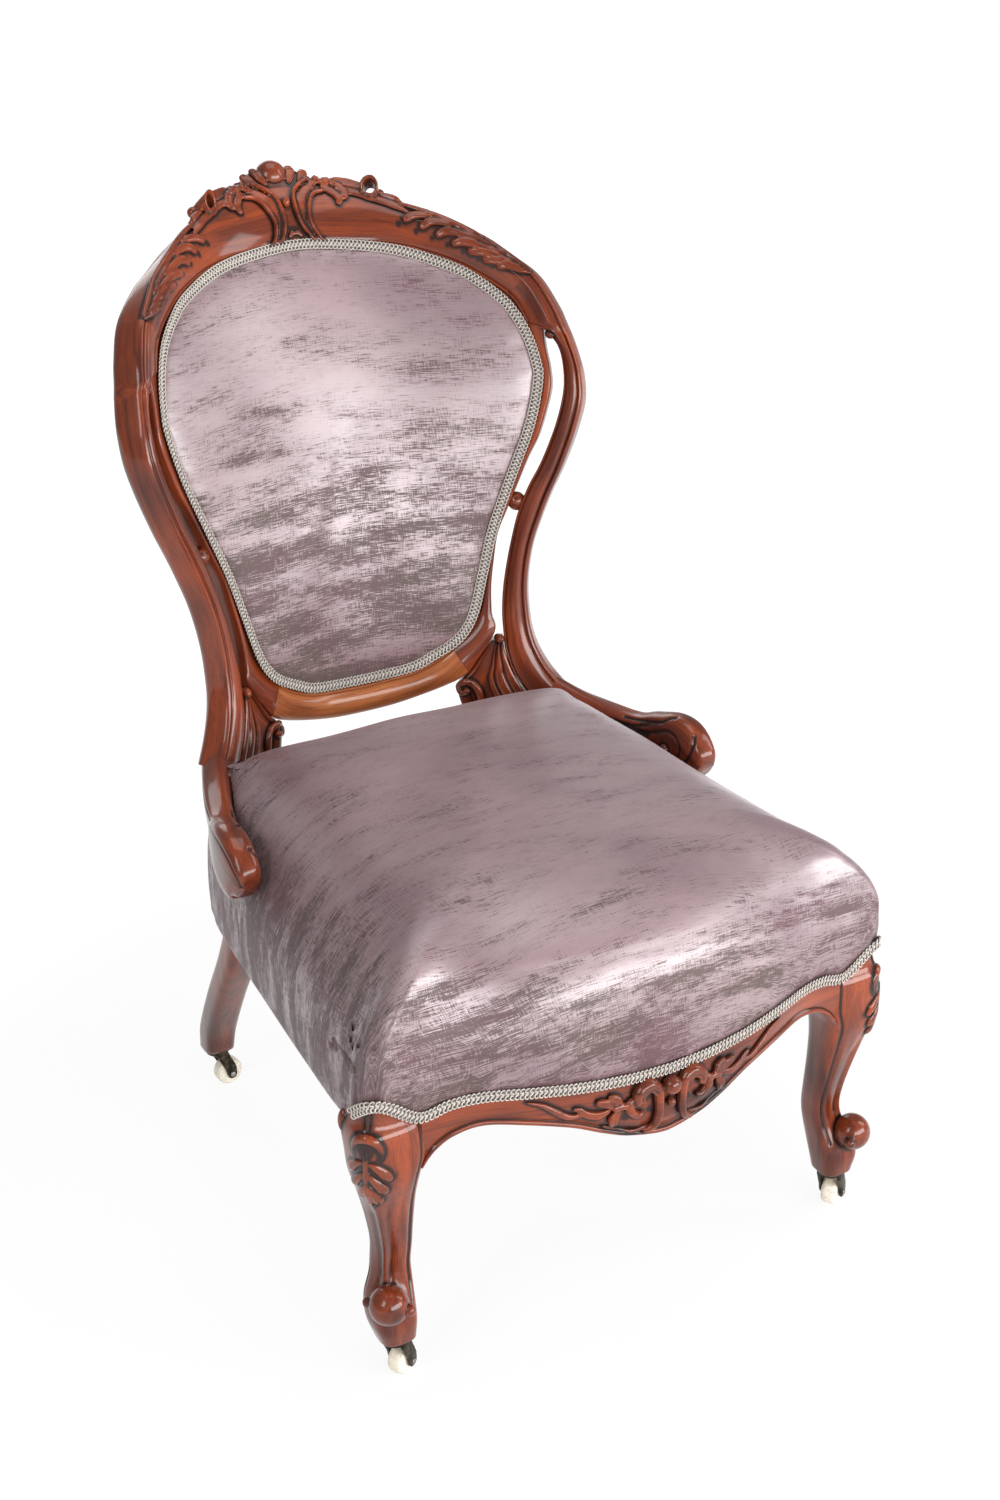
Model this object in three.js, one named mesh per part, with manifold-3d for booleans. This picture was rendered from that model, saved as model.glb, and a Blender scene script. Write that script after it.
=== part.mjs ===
// A Victorian balloon-back nursing chair: a carved walnut show frame with a spoon back, a sprung and
// overstuffed seat, an upholstered back pad, and four castors with ceramic wheels.
// Millimetres, +X to the chair's right as seen from the front, +Y to the back, +Z up, floor at Z = 0.

import * as THREE from "three";
import { mergeVertices } from "three/addons/utils/BufferGeometryUtils.js";
import Module from "manifold-3d";

const wasm = await Module();
wasm.setup();

// Driving sizes of the chair's width, which the seat, back and legs share
const seatHalfWidth = 280;      // centre line to the outer corner of the seat
const backInset = 30;           // seat's corner in to the middle of the stile at its widest
const backHalfWidth = seatHalfWidth - backInset;

// Driving sizes of the back
const armLevel = 400;           // floor to the level where the arms leave the stiles
const backRise = 500;           // arm level to the top of the crest board's shoulders
const backSet = 228;            // seat datum back to the hollow of the back at arm level
const backLean = 81;            // how far the back leans over its rise
const backSweep = 52;           // how much more it curls back at the top
const backDish = 133;           // how far the stiles come forward of the hollow
const crestRoll = 38;           // how much further back the crest's top rolls, at its ball
const stileDepth = 36;          // front to back through a stile
const railDepth = 30;           // front to back through the lower rail
const slipDepth = 22;           // front to back through the inner stiles
const tackWidth = 14;           // wood inside the gimp's centre line, under the upholstery

// Driving sizes of the seat
const seatDepth = 500;          // front of the seat rail to the back edge of the seat
const seatBack = 145;           // seat datum back to the back edge of the seat
const seatTop = 400;            // floor to the top edge of the seat's border, at the front
const seatRise = 20;            // how much higher that edge lies at the back
const seatCrown = 26;           // rise of the middle above that edge
const gimpLevel = 281;          // floor to the gimp at the middle of the front rail
const skirtLevel = 268;         // floor to the lower edge of the side and back fabric
const railFloor = 272;          // floor to the underside of the seat rails
const railHeight = 56;          // height of the side and back rails
const railThick = 24;           // thickness of the side and back rails
const railBehindCloth = 17;     // side rail's face inside the seat's corner
const frontRailThick = 28;      // thickness of the front rail
const frontRailDrop = 68;       // gimp down to the lowest point of the front rail

// Driving sizes of the legs and castors
const legTop = 328;             // floor to the top of the front legs
const legFoot = 50;             // floor to the underside of the legs
const kneeWidth = 70;           // width of a front leg's knee
const kneeInset = 33;           // seat's corner in to the middle of the knee
const kneeSetback = 68;         // front of the seat back to the middle of the knee
const kneeX = seatHalfWidth - kneeInset;
const kneeY = seatDepth - seatBack - kneeSetback;
const toeBall = 18;             // radius of the ball on a front toe
const backLegWidth = 37;        // thickness of a back leg
const backFootShare = 0.796;    // back foot's place out from the centre line, of the back's half width
const backFootX = backHalfWidth * backFootShare;
const backFootY = 207;          // seat datum back to a back foot
const wheelRadius = 15;
const wheelWidth = 16;
const castorTrail = 11;         // pivot to axle, seen from above
const castorPlateRadius = 15;
const castorPlateThick = 3;
const pivotRadius = 3.5;
const pivotLength = 9;
const axleRadius = 2.2;
const hornWall = 3.5;

// Driving sizes of the arms, braid, cloth and springs
const armReach = 200;           // stile joint to the arm's scroll, front to back
const armHeight = 30;
const armThick = 28;
const gimpWidth = 11;
const gimpThick = 2.4;
const clothThick = 1.5;
const padCrown = 26;            // rise of the back pad above its edge
const webThick = 2.5;
const webWidth = 50;
const springRadius = 34;
const springWire = 3.6;
const springTurns = 4;
const crestBall = 14;           // radius of the ball on the crest
const beadRadius = 5;
const gap = 0.35;               // clearance between neighbouring pieces
const layGap = 1.2;             // clearance under cloth laid over the curved frame
const overrun = 6;              // how far a cutter runs past what it cuts

// Materials, from the photograph
const plain = (color, roughness, metalness = 0) =>
  new THREE.MeshStandardMaterial({ color, roughness, metalness });
const walnut = plain(0x6b2c17, 0.3);
const beech = plain(0xb98a5b, 0.7);
const velvet = plain(0x9b8590, 0.6);
const braid = plain(0xb7aca2, 0.7);
const hessian = plain(0xa58a5e, 0.9);
const horsehair = plain(0x4a3c30, 0.95);
const cambric = plain(0x1f1d1d, 0.9);
const steel = plain(0x6e6a66, 0.4, 0.9);
const castorBrass = plain(0x3a3026, 0.45, 0.8);
const ceramic = plain(0xe6d3b4, 0.35);

// Solids from rings of points, with no opening: each ring has as many points as the next.
function loft(rings, joined = false) {
  const count = rings[0].length;
  const points = rings.flat();
  const faces = [];
  const spans = joined ? rings.length : rings.length - 1;
  for (let i = 0; i < spans; i++) {
    const low = i * count;
    const high = ((i + 1) % rings.length) * count;
    for (let j = 0; j < count; j++) {
      const next = (j + 1) % count;
      faces.push(low + j, low + next, high + next, low + j, high + next, high + j);
    }
  }
  if (!joined) {
    for (const first of [0, (rings.length - 1) * count]) {
      const middle = new THREE.Vector3();
      for (let j = 0; j < count; j++) middle.addScaledVector(points[first + j], 1 / count);
      points.push(middle);
      for (let j = 0; j < count; j++) {
        const next = (j + 1) % count;
        const rim = first ? [first + j, first + next] : [first + next, first + j];
        faces.push(...rim, points.length - 1);
      }
    }
  }
  const geometry = new THREE.BufferGeometry();
  geometry.setAttribute("position", new THREE.Float32BufferAttribute(points.flatMap((p) => p.toArray()), 3));
  geometry.setIndex(faces);
  return volume(geometry) < 0 ? turned(geometry) : geometry;
}

function volume(geometry) {
  const at = (i) => new THREE.Vector3().fromBufferAttribute(geometry.attributes.position, i);
  const index = geometry.index.array;
  let sum = 0;
  for (let i = 0; i < index.length; i += 3) {
    sum += at(index[i]).dot(at(index[i + 1]).cross(at(index[i + 2])));
  }
  return sum;
}

function turned(geometry) {
  const index = Array.from(geometry.index.array);
  for (let i = 0; i < index.length; i += 3) [index[i], index[i + 1]] = [index[i + 1], index[i]];
  geometry.setIndex(index);
  return geometry;
}

const merged = (geometry) => {
  const bare = geometry.clone();
  bare.deleteAttribute("normal");
  bare.deleteAttribute("uv");
  return mergeVertices(bare);
};

function solid(geometry) {
  const bare = merged(geometry);
  return new wasm.Manifold(new wasm.Mesh({
    numProp: 3,
    vertProperties: new Float32Array(bare.attributes.position.array),
    triVerts: new Uint32Array(bare.index.array),
  }));
}

function surface(manifold) {
  const mesh = manifold.getMesh();
  const geometry = new THREE.BufferGeometry();
  geometry.setAttribute("position", new THREE.BufferAttribute(new Float32Array(mesh.vertProperties), 3));
  geometry.setIndex(new THREE.BufferAttribute(new Uint32Array(mesh.triVerts), 1));
  return geometry;
}

const join = (...pieces) => surface(pieces.map(solid).reduce((all, one) => all.add(one)));
const cut = (piece, ...tools) =>
  surface(tools.map(solid).reduce((rest, tool) => rest.subtract(tool), solid(piece)));

function mirrored(geometry) {
  const other = merged(geometry);
  other.scale(-1, 1, 1);
  return turned(other);
}

const both = (form) => [form, mirrored(form)];

// A closed outline moved outwards by a distance, or inwards by a negative one.
function grown(loop, distance) {
  if (!distance) return loop;
  let area = 0;
  loop.forEach(([a, b], i) => {
    const [c, d] = loop[(i + 1) % loop.length];
    area += a * d - b * c;
  });
  const side = Math.sign(area);
  return loop.map(([a, b], i) => {
    const before = loop[(i + loop.length - 1) % loop.length];
    const after = loop[(i + 1) % loop.length];
    const one = new THREE.Vector2(a - before[0], b - before[1]).normalize();
    const two = new THREE.Vector2(after[0] - a, after[1] - b).normalize();
    const normal = new THREE.Vector2(one.y + two.y, -one.x - two.x).normalize();
    const reach = distance / Math.max(normal.x * one.y - normal.y * one.x, 0.5);
    return [a + side * normal.x * reach, b + side * normal.y * reach];
  });
}

// A bar through frames, each with a place, two directions and an outline; grow makes a fatter copy.
function bar(frames, grow = 0) {
  const rings = frames.map(({ at, u, v, loop }) =>
    grown(loop, grow).map(([a, b]) => at.clone().addScaledVector(u, a).addScaledVector(v, b)));
  if (grow) {
    const middles = frames.map(({ at }) => at);
    const last = frames.length - 1;
    const back = middles[0].clone().sub(middles[1]).setLength(grow);
    const on = middles[last].clone().sub(middles[last - 1]).setLength(grow);
    rings[0].forEach((p) => p.add(back));
    rings[last].forEach((p) => p.add(on));
  }
  return loft(rings);
}

const roundedShares = [[1, 0.45], [0.82, 0.82], [0.45, 1]];
const chamferedShares = [[1, 0.6], [0.6, 1]];
const quarters = [[1, 1], [-1, 1], [-1, -1], [1, -1]];
const rounded = (halfA, halfB, shares = roundedShares) => quarters.flatMap(([sa, sb]) => {
  const corner = shares.map(([a, b]) => [a * sa * halfA, b * sb * halfB]);
  return sa * sb > 0 ? corner : corner.reverse();
});

// The curved surface that the whole back follows, and points on it from shares of the back's size
const rollShare = { start: 0.95, end: 1.06 };
const rollSlope = crestRoll / (rollShare.end - rollShare.start);
const backAt = (x, z) => {
  const rise = (z - armLevel) / backRise;
  const across = x / backHalfWidth;
  const roll = rollSlope * Math.max(rise - rollShare.start, 0);
  return backSet + backLean * rise + backSweep * rise * rise + roll - backDish * across * across;
};
const onBack = ([xShare, zShare]) => {
  const x = xShare * backHalfWidth;
  const z = armLevel + zShare * backRise;
  return new THREE.Vector3(x, backAt(x, z), z);
};
const backNormal = (x, z) => {
  const rise = (z - armLevel) / backRise;
  const roll = rise > rollShare.start ? rollSlope : 0;
  const sideways = (-2 * backDish * x) / (backHalfWidth * backHalfWidth);
  return new THREE.Vector3(sideways, -1, (backLean + 2 * backSweep * rise + roll) / backRise).normalize();
};

// Frames of a board that lies in the back: pairs of inner and outer points, and one section for each
function boardFrames(pairs, sectionAt, depth) {
  return pairs.map(([inner, outer], i) => {
    const a = onBack(inner);
    const b = onBack(outer);
    const u = b.clone().sub(a);
    const width = u.length();
    u.normalize();
    const n = backNormal((a.x + b.x) / 2, (a.z + b.z) / 2);
    n.addScaledVector(u, -n.dot(u)).normalize();
    const loop = sectionAt(i).map(([across, out]) => {
      const x = a.x + (b.x - a.x) * across;
      const z = a.z + (b.z - a.z) * across;
      const chord = a.clone().addScaledVector(u, across * width);
      const lift = new THREE.Vector3(x, backAt(x, z), z).sub(chord).dot(n);
      return [across * width, out * depth + lift];
    });
    return { at: a, u, v: n, loop };
  });
}

// Sections as shares of the board's width and depth, from its inner edge round its front to its back
const tackedShares = [
  [0, 0], [0.36, 0], [0.4, 0.12], [0.56, 0.22], [0.76, 0.24], [0.92, 0.15],
  [1, -0.05], [1, -0.55], [0.92, -0.78], [0.5, -0.86], [0.06, -0.78], [0, -0.55],
];
const stileShares = [
  [0, -0.14], [0.08, 0.03], [0.28, 0.17], [0.52, 0.21], [0.76, 0.15], [0.93, 0.04],
  [1, -0.17], [1, -0.55], [0.9, -0.75], [0.5, -0.84], [0.1, -0.75], [0, -0.55],
];
const lowerShares = [
  [0, 0], [0.43, 0], [0.48, 0.1], [0.62, 0.2], [0.8, 0.2], [0.94, 0.08],
  [1, -0.2], [1, -0.6], [0.92, -0.82], [0.5, -0.88], [0.05, -0.82], [0, -0.6],
];
const slipShares = [
  [0, 0], [0.86, 0], [0.94, 0.06], [1, -0.14], [1, -0.8], [0.93, -1], [0.07, -1], [0, -0.8],
];
const bracketShares = [
  [0, -0.1], [0.1, 0.08], [0.5, 0.02], [0.9, 0.1], [1, -0.1], [1, -0.7], [0.5, -0.8], [0, -0.7],
];

// Crest rail, from scarf joint to scarf joint over the top
const crestShares = [
  [[0, 0.904], [0, 1.044]],
  [[0.12, 0.902], [0.132, 1.04]],
  [[0.224, 0.896], [0.264, 1.032]],
  [[0.4, 0.882], [0.47, 0.996]],
  [[0.552, 0.856], [0.62, 0.97]],
  [[0.648, 0.826], [0.77, 0.92]],
  [[0.712, 0.802], [0.866, 0.876]],
];
const flipped = (pairs) => pairs.map((pair) => pair.map(([x, z]) => [-x, z]));
const crestPairs = [...flipped(crestShares.slice(1)).reverse(), ...crestShares];
const crestBoard = (grow) => bar(boardFrames(crestPairs, () => tackedShares, stileDepth), grow);

// Carved cresting: ball, cartouche and the two rolled leaves, as plain forms
function egg(place, reach, sides = 12, rows = 8) {
  const form = new THREE.SphereGeometry(1, sides, rows);
  form.scale(...reach);
  form.translate(...place.toArray());
  return form;
}
const crestTop = armLevel + crestShares[0][1][1] * backRise;
const ballZ = crestTop + crestBall * 0.45;
const ballAt = new THREE.Vector3(0, backAt(0, ballZ), ballZ);
const cartouche = { share: [0, 1.002], reach: [34, 15, 25] };
const leaf = { share: [0.37, 1.012], reach: [17, 13, 10] };
const cartoucheAt = onBack(cartouche.share).addScaledVector(backNormal(0, ballZ), stileDepth * 0.2);
const leafAt = onBack(leaf.share).addScaledVector(backNormal(0, ballZ), stileDepth * 0.1);
const crestSolid = join(
  crestBoard(-gap / 2),
  egg(ballAt, [crestBall, crestBall, crestBall], 12, 8),
  egg(cartoucheAt, cartouche.reach, 10, 6),
  egg(leafAt, leaf.reach, 8, 6),
  egg(leafAt.clone().multiply(new THREE.Vector3(-1, 1, 1)), leaf.reach, 8, 6),
);

// Stiles, from the crest's scarf joint down to the arm joint; the slot starts at the third pair
const stilePairShares = [
  [[0.712, 0.802], [0.866, 0.876]],
  [[0.738, 0.786], [0.916, 0.816]],
  [[0.754, 0.774], [0.934, 0.778]],
  [[0.866, 0.766], [0.942, 0.752]],
  [[0.9, 0.736], [0.956, 0.714]],
  [[0.908, 0.696], [0.962, 0.676]],
  [[0.898, 0.644], [0.954, 0.624]],
  [[0.86, 0.576], [0.918, 0.56]],
  [[0.8, 0.5], [0.866, 0.489]],
  [[0.744, 0.444], [0.818, 0.433]],
  [[0.7, 0.39], [0.778, 0.381]],
  [[0.668, 0.336], [0.742, 0.328]],
  [[0.64, 0.28], [0.718, 0.274]],
  [[0.62, 0.23], [0.706, 0.227]],
  [[0.608, 0.18], [0.704, 0.182]],
  [[0.606, 0.136], [0.708, 0.142]],
  [[0.608, 0.096], [0.724, 0.103]],
  [[0.628, 0.05], [0.757, 0.062]],
  [[0.672, 0.004], [0.802, 0.024]],
];
const fullWidthPairs = 3;
const stileFrames = boardFrames(
  stilePairShares, (i) => (i < fullWidthPairs ? tackedShares : stileShares), stileDepth);
const stileBoard = (grow) => bar(stileFrames, grow);
const slotEndShares = [[0.885, 0.756], [0.59, 0.124]];
const [slotTopBead, slotFootBead] = slotEndShares.map(onBack);
const bead = (place) => egg(place, [beadRadius, beadRadius, beadRadius], 8, 6);
const stileSolid = join(stileBoard(-gap / 2), bead(slotTopBead));

// Inner stiles, between the slots and the pad
const slipPairShares = [
  [[0.75, 0.772], [0.86, 0.764]],
  [[0.76, 0.742], [0.864, 0.73]],
  [[0.776, 0.696], [0.868, 0.69]],
  [[0.772, 0.66], [0.864, 0.652]],
  [[0.748, 0.614], [0.84, 0.606]],
  [[0.708, 0.556], [0.802, 0.55]],
  [[0.672, 0.512], [0.76, 0.506]],
  [[0.628, 0.46], [0.716, 0.454]],
  [[0.576, 0.4], [0.664, 0.394]],
  [[0.54, 0.352], [0.624, 0.346]],
  [[0.516, 0.298], [0.6, 0.292]],
  [[0.49, 0.24], [0.58, 0.234]],
  [[0.464, 0.19], [0.572, 0.176]],
  [[0.428, 0.16], [0.574, 0.134]],
  [[0.37, 0.141], [0.466, 0.049]],
];
const slipBoard = (grow) => bar(boardFrames(slipPairShares, () => slipShares, slipDepth), grow);
const slipSolid = cut(slipBoard(-gap / 2), stileBoard(gap / 2), bead(slotTopBead));

// Lower rail of the back
const lowerHalfShares = [
  [[0, 0.09], [0, -0.012]],
  [[0.1, 0.092], [0.14, -0.008]],
  [[0.208, 0.098], [0.28, 0.007]],
  [[0.303, 0.117], [0.4, 0.028]],
  [[0.368, 0.139], [0.462, 0.047]],
];
const lowerPairs = [...flipped(lowerHalfShares.slice(1)).reverse(), ...lowerHalfShares];
const lowerBoard = (grow) => bar(boardFrames(lowerPairs, () => lowerShares, railDepth), grow);
const lowerSolid = cut(lowerBoard(-gap / 2), slipBoard(gap / 2), mirrored(slipBoard(gap / 2)));

// Hip brackets, under the inner stiles' feet, with a bead in the eye of their scroll
const bracketPairShares = [
  [[0.56, 0.117], [0.602, 0.127]],
  [[0.512, 0.082], [0.606, 0.096]],
  [[0.472, 0.053], [0.618, 0.068]],
  [[0.434, 0.032], [0.63, 0.047]],
  [[0.416, 0.01], [0.652, 0.02]],
  [[0.43, -0.03], [0.69, -0.02]],
  [[0.47, -0.075], [0.7, -0.065]],
];
const bracketBoard = bar(boardFrames(bracketPairShares, () => bracketShares, railDepth));
const bracketEye = bead(onBack([0.452, 0.006]));
const bracketSolid = cut(
  join(bracketBoard, bracketEye, bead(slotFootBead)),
  stileBoard(gap / 2), slipBoard(gap / 2), lowerBoard(gap / 2));

// Link blocks, half-way up the slots
const linkReach = [backHalfWidth * 0.036, 8, 9];
const linkAt = onBack([0.7, 0.414]).addScaledVector(backNormal(0, armLevel), -slipDepth * 0.4);
const linkSolid = cut(egg(linkAt, linkReach, 10, 6), stileBoard(gap / 2), slipBoard(gap / 2));

// Arms: from the stile's foot forward and out, then swelling into a scroll that turns down
const armShares = [
  { at: [0, 0, 0], high: 1.04, thick: 1.1, lean: 1 },
  { at: [0.09, -0.2, -0.045], high: 1, thick: 1.02, lean: 0.6 },
  { at: [0.165, -0.385, -0.065], high: 0.98, thick: 0.97, lean: 0.25 },
  { at: [0.222, -0.56, -0.067], high: 1, thick: 0.97, lean: 0 },
  { at: [0.265, -0.68, -0.06], high: 1.45, thick: 1.05, lean: 0 },
  { at: [0.292, -0.8, -0.068], high: 2.05, thick: 1.13, lean: 0 },
  { at: [0.305, -0.91, -0.085], high: 2.2, thick: 1.13, lean: 0 },
  { at: [0.308, -1.0, -0.115], high: 1.7, thick: 1.05, lean: 0 },
  { at: [0.308, -1.045, -0.145], high: 0.85, thick: 0.75, lean: 0 },
];
const stileEnd = stileFrames[stileFrames.length - 1];
const stileEndAt = stileEnd.at.clone()
  .addScaledVector(stileEnd.u, stileEnd.loop[6][0] / 2)
  .addScaledVector(stileEnd.v, -stileDepth * 0.33);
const armFrames = armShares.map(({ at, high, thick, lean }, i) => {
  const here = new THREE.Vector3(...at);
  const before = new THREE.Vector3(...armShares[Math.max(i - 1, 0)].at);
  const after = new THREE.Vector3(...armShares[Math.min(i + 1, armShares.length - 1)].at);
  const along = after.sub(before).normalize();
  const up = new THREE.Vector3(0, 0, 1).lerp(stileEnd.u, lean);
  up.addScaledVector(along, -up.dot(along)).normalize();
  const out = new THREE.Vector3().crossVectors(up, along).normalize();
  const loop = rounded((thick * armThick) / 2, (high * armHeight) / 2, chamferedShares);
  return { at: here.multiplyScalar(armReach).add(stileEndAt), u: out, v: up, loop };
});
const armBar = (grow) => bar(armFrames, grow);
const scroll = armFrames[6];
const scrollEyeAt = scroll.at.clone().addScaledVector(scroll.u, (-armThick * armShares[6].thick) / 2);
const scrollEye = bead(scrollEyeAt);
const scrollEyeTool = egg(scrollEyeAt, [beadRadius + gap, beadRadius + gap, beadRadius + gap], 8, 6);
const armSolid = cut(join(armBar(0), scrollEye), stileBoard(gap / 2));

// Front legs: cabriole sections down the leg, as shares of the leg's height and the knee's width
const frontLegShares = [
  { z: 1, x: -0.05, y: -0.06, wide: 0.82, deep: 0.72 },
  { z: 0.91, x: -0.05, y: -0.06, wide: 0.82, deep: 0.72 },
  { z: 0.9, x: -0.06, y: -0.03, wide: 0.865, deep: 0.77 },
  { z: 0.835, x: -0.06, y: -0.03, wide: 0.865, deep: 0.77 },
  { z: 0.79, x: -0.035, y: 0.015, wide: 0.94, deep: 0.86 },
  { z: 0.7, x: -0.045, y: 0.06, wide: 0.93, deep: 0.83 },
  { z: 0.63, x: -0.015, y: 0.075, wide: 0.82, deep: 0.78 },
  { z: 0.54, x: -0.045, y: 0.045, wide: 0.67, deep: 0.66 },
  { z: 0.43, x: -0.095, y: 0, wide: 0.55, deep: 0.56 },
  { z: 0.325, x: -0.135, y: -0.045, wide: 0.48, deep: 0.49 },
  { z: 0.25, x: -0.135, y: -0.075, wide: 0.46, deep: 0.48 },
  { z: 0.195, x: -0.115, y: -0.04, wide: 0.49, deep: 0.51 },
  { z: 0.125, x: -0.045, y: 0.055, wide: 0.58, deep: 0.61 },
  { z: 0.065, x: -0.03, y: 0.13, wide: 0.58, deep: 0.6 },
  { z: 0, x: -0.055, y: 0.17, wide: 0.48, deep: 0.48 },
];
const frontLegFrames = frontLegShares.map(({ z, x, y, wide, deep }) => ({
  at: new THREE.Vector3(kneeX + x * kneeWidth, -kneeY - y * kneeWidth, legFoot + z * (legTop - legFoot)),
  u: new THREE.Vector3(1, 0, 0),
  v: new THREE.Vector3(0, 1, 0),
  loop: rounded((wide * kneeWidth) / 2, (deep * kneeWidth) / 2),
}));
const frontLegBar = (grow) => bar(frontLegFrames, grow);
const toeAt = new THREE.Vector3(kneeX + 0.11 * kneeWidth, -kneeY - 0.36 * kneeWidth, legFoot + 2.5 * toeBall);
const kneeLeafAt = new THREE.Vector3(
  kneeX + 0.34 * kneeWidth, -kneeY - 0.36 * kneeWidth, legFoot + 0.7 * (legTop - legFoot));
const frontLegSolid = join(
  frontLegBar(0),
  egg(toeAt, [toeBall, toeBall, toeBall], 12, 8),
  egg(kneeLeafAt, [kneeWidth * 0.16, kneeWidth * 0.16, kneeWidth * 0.42], 10, 6),
);

// Back legs: raked and lightly curved, up to the stile's foot
const backLegShares = [
  { z: 0, x: 0, y: 0, wide: 0.88 },
  { z: 0.09, x: 0.01, y: -0.25, wide: 0.94 },
  { z: 0.26, x: 0.03, y: -1.15, wide: 0.96 },
  { z: 0.43, x: 0.03, y: -2.15, wide: 0.98 },
  { z: 0.57, x: 0, y: -2.75, wide: 1 },
  { z: 0.71, x: -0.05, y: -2.9, wide: 1.02 },
  { z: 0.86, x: -0.14, y: -2.4, wide: 1 },
  { z: 1.01, x: -0.22, y: -1.45, wide: 0.92 },
];
const backLegRise = armLevel - legFoot;
const backLegFrames = backLegShares.map(({ z, x, y, wide }) => ({
  at: new THREE.Vector3(x, y, 0).multiplyScalar(backLegWidth)
    .add(new THREE.Vector3(backFootX, backFootY, legFoot + z * backLegRise)),
  u: new THREE.Vector3(1, 0, 0),
  v: new THREE.Vector3(0, 1, 0),
  loop: rounded((wide * backLegWidth) / 2, (wide * backLegWidth) / 2, chamferedShares),
}));
const backLegBar = (grow) => bar(backLegFrames, grow);
const backLegSolid = cut(backLegBar(0), stileBoard(gap / 2), armBar(gap));

// Seat plan, right half from the middle of the front to the middle of the back, as shares
const planShares = [
  [0, 1.002], [0.155, 0.998], [0.31, 0.986], [0.46, 0.966], [0.6, 0.94], [0.7, 0.927], [0.8, 0.92],
  [0.9, 0.918], [0.948, 0.912], [0.976, 0.88], [0.964, 0.81], [0.932, 0.62], [0.895, 0.4],
  [0.86, 0.2], [0.825, 0.08], [0.75, 0.012], [0.4, -0.006], [0, -0.008],
];
const gimpRiseShares = [
  0, 0.02, 0.06, 0.11, 0.135, 0.11, 0.03, 0.3, 0.36, 0.17,
  -0.13, -0.19, -0.19, -0.19, -0.19, -0.19, -0.19, -0.19,
];
const planHalf = planShares.map(([x, y], i) => new THREE.Vector3(
  x * seatHalfWidth,
  seatBack - y * seatDepth,
  Math.max(gimpLevel + gimpRiseShares[i] * frontRailDrop, skirtLevel),
));
const acrossTo = (p) => new THREE.Vector3(-p.x, p.y, p.z);
const planLoop = [...planHalf, ...planHalf.slice(1, -1).reverse().map(acrossTo)];
const planMiddle = new THREE.Vector3(0, seatBack - seatDepth * 0.5, 0);

// One level of the seat: the plan drawn in by an inset, at a share of the border's height or above it
function seatLevel({ rise, side, front, back, crown }, inset) {
  return planLoop.map((p) => {
    const ahead = p.y < planMiddle.y;
    const y = planMiddle.y + (p.y - planMiddle.y) * (ahead ? front : back);
    const x = p.x * side;
    const edge = seatTop + (seatRise * (y - planHalf[0].y)) / seatDepth;
    const z = p.z + rise * (edge - p.z) + crown * seatCrown;
    const inward = new THREE.Vector3(-x / seatHalfWidth, (planMiddle.y - y) / (seatDepth / 2), 0);
    inward.clampLength(0, 1).multiplyScalar(inset * (1 - crown * 0.9));
    return new THREE.Vector3(x, y, z - inset * (rise > 0.9 ? Math.max(crown, 0.7) : 0)).add(inward);
  });
}
const seatLevelShares = [
  { rise: 0, side: 1, front: 1, back: 1, crown: 0 },
  { rise: 0.25, side: 0.995, front: 1.016, back: 1.006, crown: 0 },
  { rise: 0.55, side: 0.97, front: 1.022, back: 1.01, crown: 0 },
  { rise: 0.8, side: 0.928, front: 1.01, back: 1.0, crown: 0 },
  { rise: 0.96, side: 0.88, front: 0.975, back: 0.985, crown: 0 },
  { rise: 1, side: 0.82, front: 0.915, back: 0.95, crown: 0.22 },
  { rise: 1, side: 0.68, front: 0.73, back: 0.74, crown: 0.62 },
  { rise: 1, side: 0.42, front: 0.46, back: 0.46, crown: 0.9 },
  { rise: 1, side: 0.14, front: 0.16, back: 0.16, crown: 1 },
];
function seatForm(inset, drop) {
  const rings = seatLevelShares.map((level) => seatLevel(level, inset));
  if (drop > 0) rings.unshift(rings[0].map((p) => new THREE.Vector3(p.x, p.y, p.z - drop)));
  else rings[0].forEach((p) => p.setZ(p.z - drop));
  return loft(rings);
}

// Front rail: a bowed board with a shaped lower edge, rebated above the gimp for the cloth
const frontRailShares = [
  { x: 0, low: 1, belly: 0.05 },
  { x: 0.13, low: 0.9, belly: 0.05 },
  { x: 0.22, low: 0.76, belly: 0.03 },
  { x: 0.33, low: 0.56, belly: 0 },
  { x: 0.475, low: 0.4, belly: 0 },
  { x: 0.6, low: 0.33, belly: 0 },
  { x: 0.69, low: 0.41, belly: 0 },
  { x: 0.752, low: 0.56, belly: 0 },
];
const planFrontAt = (x) => {
  const right = planHalf.findIndex((p) => p.x > Math.abs(x));
  const [a, b] = [planHalf[right - 1], planHalf[right]];
  return a.clone().lerp(b, (Math.abs(x) - a.x) / (b.x - a.x));
};
const railTop = railFloor + railHeight;
const rebate = 6;
function frontRailRing({ x, low, belly }, side, grow) {
  const place = side * x * seatHalfWidth;
  const { y, z } = planFrontAt(place);
  const face = y + gap;
  const rear = y + frontRailThick;
  const foot = gimpLevel - low * frontRailDrop;
  const proud = belly * frontRailDrop;
  const loop = [
    [face + rebate, railTop], [face + rebate, z + gap], [face, z - gap],
    [face - proud, (z + foot) / 2 + proud], [face, foot + rebate], [face + rebate / 2, foot],
    [rear, foot + rebate / 3], [rear, railTop],
  ];
  return grown(loop, grow).map(([py, pz]) => new THREE.Vector3(place, py, pz));
}
const frontRailStations = [
  ...frontRailShares.slice(1).reverse().map((row) => [row, -1]),
  ...frontRailShares.map((row) => [row, 1]),
];
const frontRailBoard = loft(frontRailStations.map(([row, side]) => frontRailRing(row, side, 0)));
const carving = { reach: [62, 9, 17], drop: 0.5 };
const carvingAt = new THREE.Vector3(
  0, planHalf[0].y, gimpLevel - carving.drop * frontRailDrop);
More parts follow.
